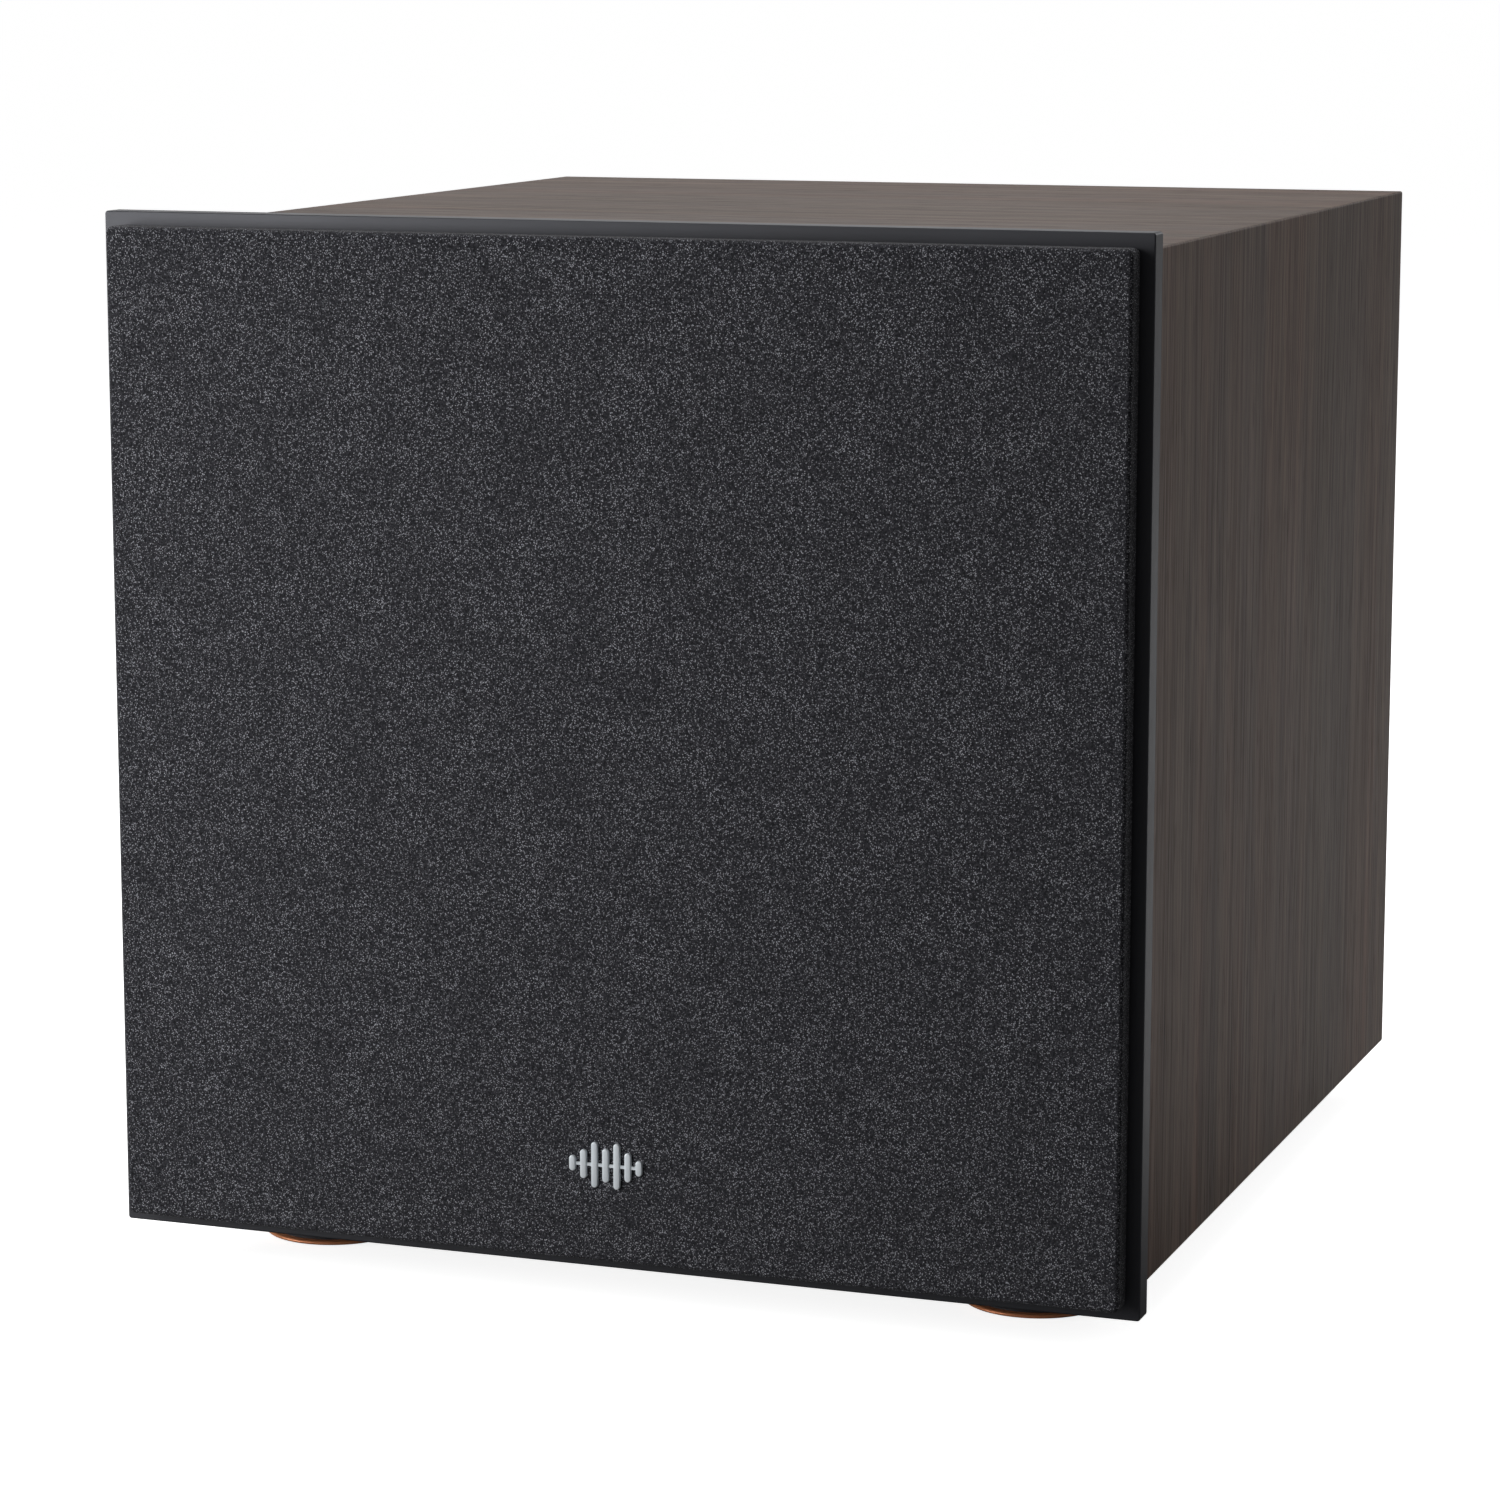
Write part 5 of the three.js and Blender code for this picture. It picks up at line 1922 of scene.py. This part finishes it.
    def _nibs(self) -> None:
        """The two slide switches' nibs, with finger ridges."""
        span = Span.of(self.sliders[0])
        nib = block("nib", span.low, span.high)
        pick(nib, Kind.FACE, looks((0, 1, 0)))
        bpy.ops.mesh.inset(thickness=0.4 * MM, depth=-0.3 * MM)
        bpy.ops.mesh.inset(thickness=0.3 * MM, depth=0.3 * MM)
        bpy.ops.object.mode_set(mode="OBJECT")
        soften(nib, 0.12 * MM)
        nibs = repeated(nib, [f"{node}_nib" for node in self.sliders], self.sliders)
        for piece, body, node in zip(nibs, ("phase_control", "mode_control"), self.sliders):
            self.place(piece, MOULDED_BLACK, body, node)

    def _jacks(self) -> None:
        """Two phono jacks: nickel shell, coloured ring, body behind the panel."""
        span = Span.of(self.jacks[0])
        centre = (span.middle.x, 0, span.middle.z)
        face, end = self.face, span.high.y
        outer, inner, pin, core = 4.15 * MM, 3.3 * MM, 1.9 * MM, 1.5 * MM
        outline = [(0, face - 2 * MM), (outer, face - 2 * MM), (outer, end - 0.5 * MM)]
        outline += [(3.7 * MM, end), (inner, end), (inner, face + MM), (pin, face + MM)]
        outline += [(pin, end - 1.2 * MM), (core, end - 0.9 * MM), (core, face + MM), (0, face + MM)]
        shell = turned("shell", outline, centre, Axis.Y, 40, closed=False)
        body = block("body", span.low, (span.high.x, self.plate.low.y - 0.3 * MM, span.high.z))
        soften(body, 0.4 * MM)
        hole, rim, lip = 4.25 * MM, 6.4 * MM, 1.1 * MM
        outline = [(hole, face), (rim, face), (rim, face + 0.7 * MM), (6 * MM, face + lip)]
        outline += [(hole, face + lip)]
        collar = turned("collar", outline, centre, Axis.Y, 40)
        inner, outer, top = 2 * MM, 3.2 * MM, end - 1.5 * MM
        outline = [(inner, face + MM), (outer, face + MM), (outer, top), (inner, top)]
        insulator = turned("insulator", outline, centre, Axis.Y, 32)
        for pattern, finishes in (
            (shell, (NICKEL, NICKEL)), (body, (MOULDED_BLACK, MOULDED_BLACK)),
            (collar, (JACK_WHITE, JACK_RED)), (insulator, (JACK_WHITE, JACK_RED)),
        ):
            names = [f"{node}_{pattern.name}" for node in self.jacks]
            pieces = repeated(pattern, names, self.jacks)
            for piece, finish, node in zip(pieces, finishes, self.jacks):
                stands_for = (node,) if pattern is shell else ()
                self.place(piece, finish, "cabinet", *stands_for)

    def _lamp(self) -> None:
        """The status light: a small dome in a thin bezel."""
        span = Span.of("status_light")
        centre, r = (span.middle.x, 0, span.middle.z), span.size.x / 2
        outline = [(0, span.low.y), (r, span.low.y), (r, self.face)]
        outline += [(x, self.face + y) for x, y in arc((0, 0), r, 0, 90, 7)]
        self.place(
            turned("status_lamp", outline, centre, Axis.Y, 28, closed=False), LAMP,
            "cabinet", "status_light",
        )
        bezel = [(r + 0.1 * MM, self.face), (r + 1.1 * MM, self.face)]
        bezel += [(r + MM, self.face + 0.5 * MM), (r + 0.2 * MM, self.face + 0.6 * MM)]
        self.place(turned("lamp_bezel", bezel, centre, Axis.Y, 32), NICKEL, "cabinet")

    def _inlet(self) -> None:
        """The mains inlet: a lipped socket with two cut corners and three blades."""
        span = Span.of("mains_inlet")
        x, z = span.middle.x, span.middle.z
        lip = round_rectangle(span.size.x, span.size.z, 2 * MM, (x, z))
        rim = drawn("rim", lip, self.face, span.high.y)
        round_edges(rim, lies_at(Axis.Y, span.high.y), 0.7 * MM, 3)
        across, up = 13.5 * MM, 9.75 * MM
        body = block("body", (x - across, span.low.y, z - up), (x + across, self.face, z + up))
        half, rise, bevel = 11.75 * MM, 8 * MM, 4.5 * MM
        recess = [(-half, -rise), (half, -rise), (half, rise - bevel), (half - bevel, rise),
                  (bevel - half, rise), (-half, rise - bevel)]
        floor = self.face - 16 * MM
        for part in (rim, body):
            tool = drawn("recess", recess, floor, span.high.y + MM, Axis.Y, (x, 0, z))
            cut(part, tool)
        piece = joined("mains_socket", [rim, body])
        self.place(piece, MOULDED_BLACK, "cabinet", "mains_inlet")
        blade = block(
            "socket_blade_1", (x - 8 * MM, floor, z - 4 * MM),
            (x - 6 * MM, self.face - 5 * MM, z),
        )
        blades = [soften(blade, 0.5 * MM, 3)]
        for dx, dz in ((14 * MM, 0), (7 * MM, 4 * MM)):
            name = f"socket_blade_{len(blades) + 1}"
            blades.append(copied(blade, name, Matrix.Translation((dx, 0, dz))))
        for piece in blades:
            self.place(piece, NICKEL, "cabinet")

    def _switch(self) -> None:
        """The rocker switch: its lipped housing, and the rocker."""
        span = Span.of("rocker_housing")
        x, z = span.middle.x, span.middle.z
        lip = round_rectangle(span.size.x, span.size.z, 1.6 * MM, (x, z))
        rim = drawn("rim", lip, self.face, span.high.y)
        round_edges(rim, lies_at(Axis.Y, span.high.y), 0.5 * MM, 3)
        across, up = 6.5 * MM, 10 * MM
        body = block("body", (x - across, span.low.y, z - up), (x + across, self.face, z + up))
        across, up, deep = 5.4 * MM, 8.9 * MM, 8.5 * MM
        for part in (rim, body):
            cut(part, block(
                "well", (x - across, self.face - deep, z - up),
                (x + across, span.high.y + MM, z + up),
            ))
        piece = joined("rocker_surround", [rim, body])
        self.place(piece, MOULDED_BLACK, "cabinet", "rocker_housing")
        self._rocker()

    def _rocker(self) -> None:
        """The rocker, hollowed across its face, with a bar and a ring on it, and tipped."""
        span = Span.of("power_rocker")
        joint = next(j for j in frame["joints"] if j["name"] == "rocker_tip")
        pivot = Vector(joint["pos_m"])
        tilt = math.radians(joint["range_deg"][1] / 2)
        reach, height, hollow, steps = 7.6 * MM, 4.6 * MM, 1.25 * MM, 10
        face = [(height - hollow * math.cos(math.pi * s / 2 / steps), s / steps * reach)
                for s in range(-steps, steps + 1)]
        outline = [(-3.6 * MM, -2.5 * MM), (-0.5 * MM, -7.2 * MM), *face,
                   (-0.5 * MM, 7.2 * MM), (-3.6 * MM, 2.5 * MM)]
        piece = drawn("rocker_cap", outline, span.low.x, span.high.x, Axis.X, pivot)
        soften(piece, 0.35 * MM, 2, 50)
        # The marks are modelled flat, then each is tilted to lie on the curved face.
        half, top, away = 0.25 * MM, 3.95 * MM, 4.4 * MM
        bar = block("bar", (pivot.x - half, pivot.y + 3.6 * MM, pivot.z + 3.2 * MM),
                          (pivot.x + half, pivot.y + top, pivot.z + 5.6 * MM))
        inner, outer, low = MM, 1.35 * MM, 3.5 * MM
        outline = [(inner, low), (outer, low), (outer, top), (inner, top)]
        ring = turned("ring", outline, (pivot.x, pivot.y, pivot.z - away), Axis.Y, 28)
        slope = math.radians(11.3)
        for side, mark in ((1, bar), (-1, ring)):
            seat = Matrix.Translation(pivot + Vector((0, 3.83 * MM, side * away)))
            mark.matrix_world = seat @ Matrix.Rotation(-side * slope, 4, "X") @ seat.inverted()
            settle(mark)
        mark = joined("rocker_marks", [bar, ring])
        there = Matrix.Translation(pivot)
        move = there @ Matrix.Rotation(tilt, 4, "X") @ there.inverted()
        for part in (piece, mark):
            part.matrix_world = move
            settle(part)
        self.place(piece, MOULDED_BLACK, "power_control", "power_rocker")
        self.place(mark, PRINTING, "power_control")

    def _numeral(self, text: str, place: tuple[float, float], height: float = 3.2 * MM) -> None:
        """A printed number on the panel, read from behind the box.

        Args:
            text: the number.
            place: its middle on the panel.
            height: the size of its type.
        """
        clear()
        bpy.ops.object.text_add(location=(0, 0, 0))
        label = bpy.context.object
        label.data.body = text
        label.data.size = height
        label.data.align_x, label.data.align_y = "CENTER", "CENTER"
        label.data.extrude = self.ink / 2
        bpy.ops.object.convert(target="MESH")
        made = bpy.context.object
        stand = Matrix.Rotation(math.pi, 4, "Z") @ Matrix.Rotation(math.pi / 2, 4, "X")
        there = Matrix.Translation((place[0], self.face + self.ink / 2, place[1]))
        made.matrix_world = there @ stand
        self._prints.append(settle(made))

    def _stroke(
        self, start: tuple[float, float], end: tuple[float, float], width: float,
    ) -> Piece:
        """A printed line on the panel.

        Args:
            start: one end of the line.
            end: its other end.
            width: its width.

        Returns:
            The line.
        """
        (x0, z0), (x1, z1) = start, end
        long = math.hypot(x1 - x0, z1 - z0)
        nx, nz = (z1 - z0) / long * width / 2, (x0 - x1) / long * width / 2
        outline = [(x0 + nx, z0 + nz), (x1 + nx, z1 + nz), (x1 - nx, z1 - nz), (x0 - nx, z0 - nz)]
        self._prints.append(drawn("stroke", outline, self.face, self.face + self.ink))
        return self._prints[-1]

    def _scale(self, width: float) -> None:
        """The eleven ticks of a dial, long and short, for both knobs.

        Args:
            width: the width of a tick.
        """
        middle = Span.of(self.knobs[0]).middle
        there = Matrix.Translation(middle)
        ticks: list[Piece] = []
        for outer, hours in ((13.6 * MM, (0, 5, 10)), (12.6 * MM, (1, 2, 3, 4, 6, 7, 8, 9))):
            angle, inner = math.radians(240 - 30 * hours[0]), 11 * MM
            first = self._stroke(
                (middle.x - math.cos(angle) * inner, middle.z + math.sin(angle) * inner),
                (middle.x - math.cos(angle) * outer, middle.z + math.sin(angle) * outer), width,
            )
            ticks.append(first)
            for hour in hours[1:]:
                turn = Matrix.Rotation(math.radians(-30 * (hour - hours[0])), 4, "Y")
                ticks.append(copied(first, "tick", there @ turn @ there.inverted()))
                self._prints.append(ticks[-1])
        move = Matrix.Translation(Span.of(self.knobs[1]).middle - middle)
        self._prints += [copied(tick, "tick", move) for tick in ticks]

    def _printing(self) -> None:
        """Dial scales, switch marks and frames, as one thin print."""
        thin = 0.35 * MM
        self._scale(thin)
        for node, numbers in zip(self.knobs, (("0", "5", "10"), ("50", "100", "150"))):
            middle = Span.of(node).middle
            for number, angle in zip(numbers, (240, 90, -60)):
                turn = math.radians(angle)
                self._numeral(number, (middle.x - math.cos(turn) * 17 * MM,
                                       middle.z + math.sin(turn) * 16.4 * MM))
        for node, numbers in zip(self.sliders, (("0", "180"), ("1", "2"))):
            middle = Span.of(node).middle
            for number, side in zip(numbers, (1, -1)):
                self._numeral(number, (middle.x - 2 * MM + side * 9 * MM, middle.z), 2.8 * MM)
        self._frames(thin)
        piece = joined("panel_printing", self._prints)
        self.place(piece, PRINTING, "cabinet")

    def _frames(self, width: float) -> None:
        """Printed boxes round the jacks, the inlet and the rocker.

        Args:
            width: the width of their lines.
        """
        left, right = (Span.of(node).middle for node in self.jacks)
        inlet, rocker = Span.of("mains_inlet").middle, Span.of("rocker_housing").middle
        groups = (
            ((left.x + right.x) / 2, left.z + MM, 52 * MM, 30 * MM),
            (inlet.x, inlet.z, 46 * MM, 36 * MM), (rocker.x, rocker.z, 28 * MM, 36 * MM),
        )
        for x, z, across, up in groups:
            corners = [(x - across / 2, z - up / 2), (x + across / 2, z - up / 2),
                       (x + across / 2, z + up / 2), (x - across / 2, z + up / 2)]
            for start, end in zip(corners, corners[1:] + corners[:1]):
                self._stroke(start, end, width)

    def _inside(self) -> None:
        """Finishes for what is behind the panel."""
        self.dress(FOAM, "amp_gasket")
        self.dress(CIRCUIT_GREEN, "amp_board")
        self.dress(ALUMINIUM, "heat_sink")
        self.dress(CORE_STEEL, "transformer")
        self.dress(ZINC, "level_pot", "crossover_pot")
        self.dress(MOULDED_BLACK, "slide_switch_block")


@dataclass
class Feet(Assembly):
    """Four feet: a black body, a copper ring and a rubber pad each.

    Args:
        corners: where the feet stand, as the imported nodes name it.
    """

    corners: tuple[str, ...] = ("front_left", "front_right", "rear_left", "rear_right")

    def build(self) -> None:
        """Build the first foot's three parts, then copy them to the others."""
        for piece, finish, node in (
            (self._body(), MOULDED_BLACK, "foot"), (self._ring(), COPPER, "foot_ring"),
            (self._pad(), RUBBER, "foot_pad"),
        ):
            names = [f"{piece.name}_{corner}" for corner in self.corners]
            nodes = [f"{node}_{corner}" for corner in self.corners]
            for copy, packed in zip(repeated(piece, names, nodes), nodes):
                self.place(copy, finish, "cabinet", packed)

    def _body(self) -> Piece:
        """The first foot's moulded body, with a blind hole for its screw.

        Returns:
            The body.
        """
        span = Span.of(f"foot_{self.corners[0]}")
        low, high = span.low.z, span.high.z
        wide, top, hole, head, seat = span.size.y / 2, 20 * MM, 2.5 * MM, 7 * MM, 11 * MM
        outline = [(hole, high), (top - 0.4 * MM, high), (top, high - 0.4 * MM)]
        outline += [(top + 0.2 * MM, low + 6 * MM), (wide - 0.2 * MM, low + 2 * MM), (wide, low)]
        outline += [(head, low), (head, seat), (hole, seat)]
        centre = (span.middle.x, span.middle.y, 0)
        return turned("foot_body", outline, centre, Axis.Z, 72)

    def _ring(self) -> Piece:
        """The first foot's round-edged ring.

        Returns:
            The ring.
        """
        span = Span.of(f"foot_ring_{self.corners[0]}")
        rim, low, high, bore = span.size.y / 2 - 0.5 * MM, span.low.z, span.high.z, 17.5 * MM
        outline = [(bore, low), (rim, low)]
        outline += arc((rim, (low + high) / 2), (high - low) / 2, -90, 90, 8)
        outline += [(bore, high)]
        centre = (span.middle.x, span.middle.y, 0)
        return turned("foot_copper", outline, centre, Axis.Z, 96)

    def _pad(self) -> Piece:
        """The first foot's rubber pad, with three grooves in its tread.

        Returns:
            The pad.
        """
        span = Span.of(f"foot_pad_{self.corners[0]}")
        edge, roof, deep = span.size.y / 2, span.high.z, 0.5 * MM
        outline = [(0, roof), (edge, roof), (edge, 0.3 * MM), (edge - 0.3 * MM, 0)]
        for groove in (16, 11, 6):
            outline += [((groove + 0.7) * MM, 0), ((groove + 0.5) * MM, deep)]
            outline += [((groove - 0.5) * MM, deep), ((groove - 0.7) * MM, 0)]
        outline += [(0, 0)]
        centre = (span.middle.x, span.middle.y, 0)
        return turned("foot_tread", outline, centre, Axis.Z, 72, closed=False)


@dataclass
class Filling(Assembly):
    """What lines and wires the inside of the box.

    Args:
        core: the radius of each of the lead's two cores.
        twist_step: the length of lead between two points of a core.
        steps_a_turn: how many such lengths make a full twist.
        route: the lead's middle, in millimetres back from the grille's face.
    """

    core: float = 1.0 * MM
    twist_step: float = 3 * MM
    steps_a_turn: int = 8
    route: tuple[Point, ...] = (
        (-44.5, 55, 74.7), (-47.5, 61, 66.7), (-62, 90, 50), (-70, 140, 74), (-74, 185, 86),
        (-78, 240, 78), (-80, 300, 96), (-82, 336, 140), (-80, 350, 146), (-80, 360.2, 146),
    )

    def build(self) -> None:
        """Build the wadding and the lead."""
        self._wadding()
        self._lead()

    def _wadding(self) -> None:
        """A lumpy arch of fibre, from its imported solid."""
        node = frame["nodes"]["damping_wadding"]
        hold(node)
        bpy.ops.object.duplicate(linked=False)
        piece = bpy.context.object
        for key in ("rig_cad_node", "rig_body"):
            if key in piece:
                del piece[key]
        piece.parent = None
        piece.name = "fibre_lining"
        settle(piece)
        bpy.ops.object.mode_set(mode="EDIT")
        bpy.ops.mesh.select_all(action="SELECT")
        bpy.ops.mesh.remove_doubles(threshold=MM / 1000)
        bpy.ops.object.mode_set(mode="OBJECT")
        modify(piece, "REMESH", mode="VOXEL", voxel_size=5 * MM)
        modify(piece, "SMOOTH", factor=0.8, iterations=6)
        cloud = bpy.data.textures.new("fibre_lumps", "CLOUDS")
        cloud.noise_scale = 0.03
        modify(
            piece, "DISPLACE", texture=cloud, strength=-4 * MM, mid_level=0.0,
            texture_coords="LOCAL",
        )
        self.place(piece, WADDING, "cabinet", "damping_wadding", smooth=80)

    def _lead(self) -> None:
        """Two cores twisted round each other, from the driver's terminal to the amplifier."""
        middle = Vector((0, Span.of("grille_cloth").low.y, 0))
        route = smooth_path([middle + Vector(point) * MM for point in self.route], self.twist_step)
        for number, start in enumerate((0.0, math.pi)):
            core = self._core(f"lead_core_{number + 1}", route, start)
            nodes = ("speaker_lead",) if number == 0 else ()
            self.place(core, (LEAD_RED, LEAD_BLACK)[number], "cabinet", *nodes, smooth=60)

    def _core(self, name: str, route: list[Vector], start: float) -> Piece:
        """One core of the lead.

        Args:
            name: the core's name.
            route: the points that the lead passes through.
            start: how far round the lead's middle this core begins, in radians.

        Returns:
            The core, as a closed mesh tube.
        """
        points: list[Vector] = []
        for i, spot in enumerate(route):
            way = route[min(i + 1, len(route) - 1)] - route[max(i - 1, 0)]
            side = way.cross(Vector((1, 0, 0))).normalized()
            rise = way.cross(side).normalized()
            turn = start + i * math.tau / self.steps_a_turn
            points.append(spot + (side * math.cos(turn) + rise * math.sin(turn)) * self.core)
        clear()
        bpy.ops.curve.primitive_bezier_curve_add()
        line = bpy.context.object
        line.name = name
        line.data.splines.clear()
        spline = line.data.splines.new("POLY")
        spline.points.add(len(points) - 1)
        for spot, point in zip(spline.points, points):
            spot.co = (*point, 1)
        line.data.bevel_depth = self.core * 0.96
        line.data.bevel_resolution = 2
        line.data.use_fill_caps = True
        bpy.ops.object.convert(target="MESH")
        return settle(bpy.context.object)


# -------------------------------------------------------------------- studio


@dataclass(frozen=True)
class Softbox:
    """A rectangular soft light.

    Args:
        name: the light's name.
        place: where it hangs.
        target: the point that it faces.
        size: its width and height.
        power: its strength in watts.
    """

    name: str
    place: Point
    target: Point
    size: Point
    power: float

    def hang(self) -> None:
        """Put the light up."""
        lamp = bpy.data.lights.new(f"softbox_{self.name}", "AREA")
        lamp.shape = "RECTANGLE"
        lamp.size, lamp.size_y = self.size
        lamp.energy = self.power
        light = bpy.data.objects.new(lamp.name, lamp)
        light.location = self.place
        way = Vector(self.target) - Vector(self.place)
        light.rotation_euler = way.to_track_quat("-Z", "Y").to_euler()
        bpy.context.scene.collection.objects.link(light)


@dataclass
class Studio:
    """The floor, the lights and the camera.

    Args:
        eye: the camera's place.
        heading: how far it is turned from +Y, towards -X, in degrees.
        dip: how far it looks down, in degrees.
        lens: its focal length in millimetres.
        surround: how much light the surround gives.
        bounce: how pale the floor is to everything but the camera.
        behind: how much light the surround gives from straight behind the box.
        glow: how much the floor is lit from below, to the camera alone.
        softboxes: the lights.
    """

    eye: Point = (0.5306, -1.5274, 0.4326)
    heading: float = 19.91
    dip: float = 9.83
    lens: float = 110.7
    surround: float = 0.14
    behind: float = 0.22
    bounce: float = 0.2
    glow: float = 0.86
    softboxes: tuple[Softbox, ...] = (
        Softbox("key", (-0.98, -0.98, 0.4), (0, -0.15, 0.22), (0.8, 1.0), 17),
        Softbox("overhead", (-0.1, 0.4, 1.9), (0, 0.05, 0.3), (2.0, 1.4), 15),
        Softbox("side", (1.45, 2.25, 1.3), (0.1, 0.1, 0.2), (1.3, 1.2), 12.8),
        Softbox("back", (-0.9, 2.1, 2.0), (0, 0.1, 0.2), (1.4, 1.2), 11.5),
    )

    def build(self) -> None:
        """Set up the whole studio."""
        self._camera()
        self._floor()
        self._world()
        for softbox in self.softboxes:
            softbox.hang()

    def _camera(self) -> None:
        """The camera, at eye height in front of the right-hand corner."""
        camera = bpy.data.objects.new("camera", bpy.data.cameras.new("camera"))
        bpy.context.scene.collection.objects.link(camera)
        camera.data.lens = self.lens
        camera.data.sensor_width = 36
        camera.data.clip_end = 500
        camera.location = self.eye
        camera.rotation_euler = (math.radians(90 - self.dip), 0, math.radians(self.heading))
        bpy.context.scene.camera = camera

    def _floor(self) -> None:
        """A plain pale floor that throws little light back at the piece."""
        clear()
        bpy.ops.mesh.primitive_plane_add(size=160, location=(0, 0, -0.0002))
        floor = bpy.context.object
        floor.name = "studio_floor"
        paper = bpy.data.materials.new("studio_paper")
        paper.use_nodes = True
        nodes = Nodes(paper.node_tree)
        skin = paper.node_tree.nodes["Principled BSDF"]
        light = nodes.add("LightPath")
        seen = light.outputs["Is Camera Ray"]
        pale, dim = (0.93, 0.93, 0.93, 1), (self.bounce, self.bounce, self.bounce, 1)
        place = nodes.add("SeparateXYZ", {0: nodes.add("TexCoord").outputs["Object"]})
        rear = nodes.band(place.outputs["Y"], -0.15, 0.1)
        mirrored = nodes.maths("MULTIPLY", rear, light.outputs["Is Glossy Ray"])
        tone = nodes.blend(nodes.maths("MAXIMUM", seen, mirrored), dim, pale)
        paper.node_tree.links.new(tone, skin.inputs["Base Color"])
        skin.inputs["Roughness"].default_value = 0.9
        skin.inputs["Specular IOR Level"].default_value = 0.0
        skin.inputs["Emission Color"].default_value = (1, 1, 1, 1)
        glow = nodes.maths("MULTIPLY", seen, self.glow)
        paper.node_tree.links.new(glow, skin.inputs["Emission Strength"])
        floor.data.materials.append(paper)

    def _world(self) -> None:
        """An even surround: white to the camera, softer as a light."""
        world = bpy.data.worlds.new("studio_air")
        world.use_nodes = True
        nodes = Nodes(world.node_tree)
        air = world.node_tree.nodes["Background"]
        air.inputs["Color"].default_value = (1, 1, 1, 1)
        seen = nodes.add("LightPath").outputs["Is Camera Ray"]
        way = nodes.add("SeparateXYZ", {0: nodes.add("TexCoord").outputs["Generated"]})
        around = nodes.band(way.outputs["Y"], 0.4, 0.95, self.surround, self.behind)
        level = nodes.add("MapRange", {"Value": seen, "To Min": around, "To Max": 1.0})
        world.node_tree.links.new(level.outputs[0], air.inputs["Strength"])
        bpy.context.scene.world = world
        bpy.context.scene.view_settings.view_transform = "Standard"


def main() -> None:
    """Build the subwoofer's pieces in order, then the studio round them."""
    screws = Screw()
    Cabinet().build()
    Grille().build()
    Driver(screws).build()
    Port(screws).build()
    Amplifier(screws).build()
    screws.put_away()
    Feet().build()
    Filling().build()
    Studio().build()


if __name__ == "__main__":
    main()
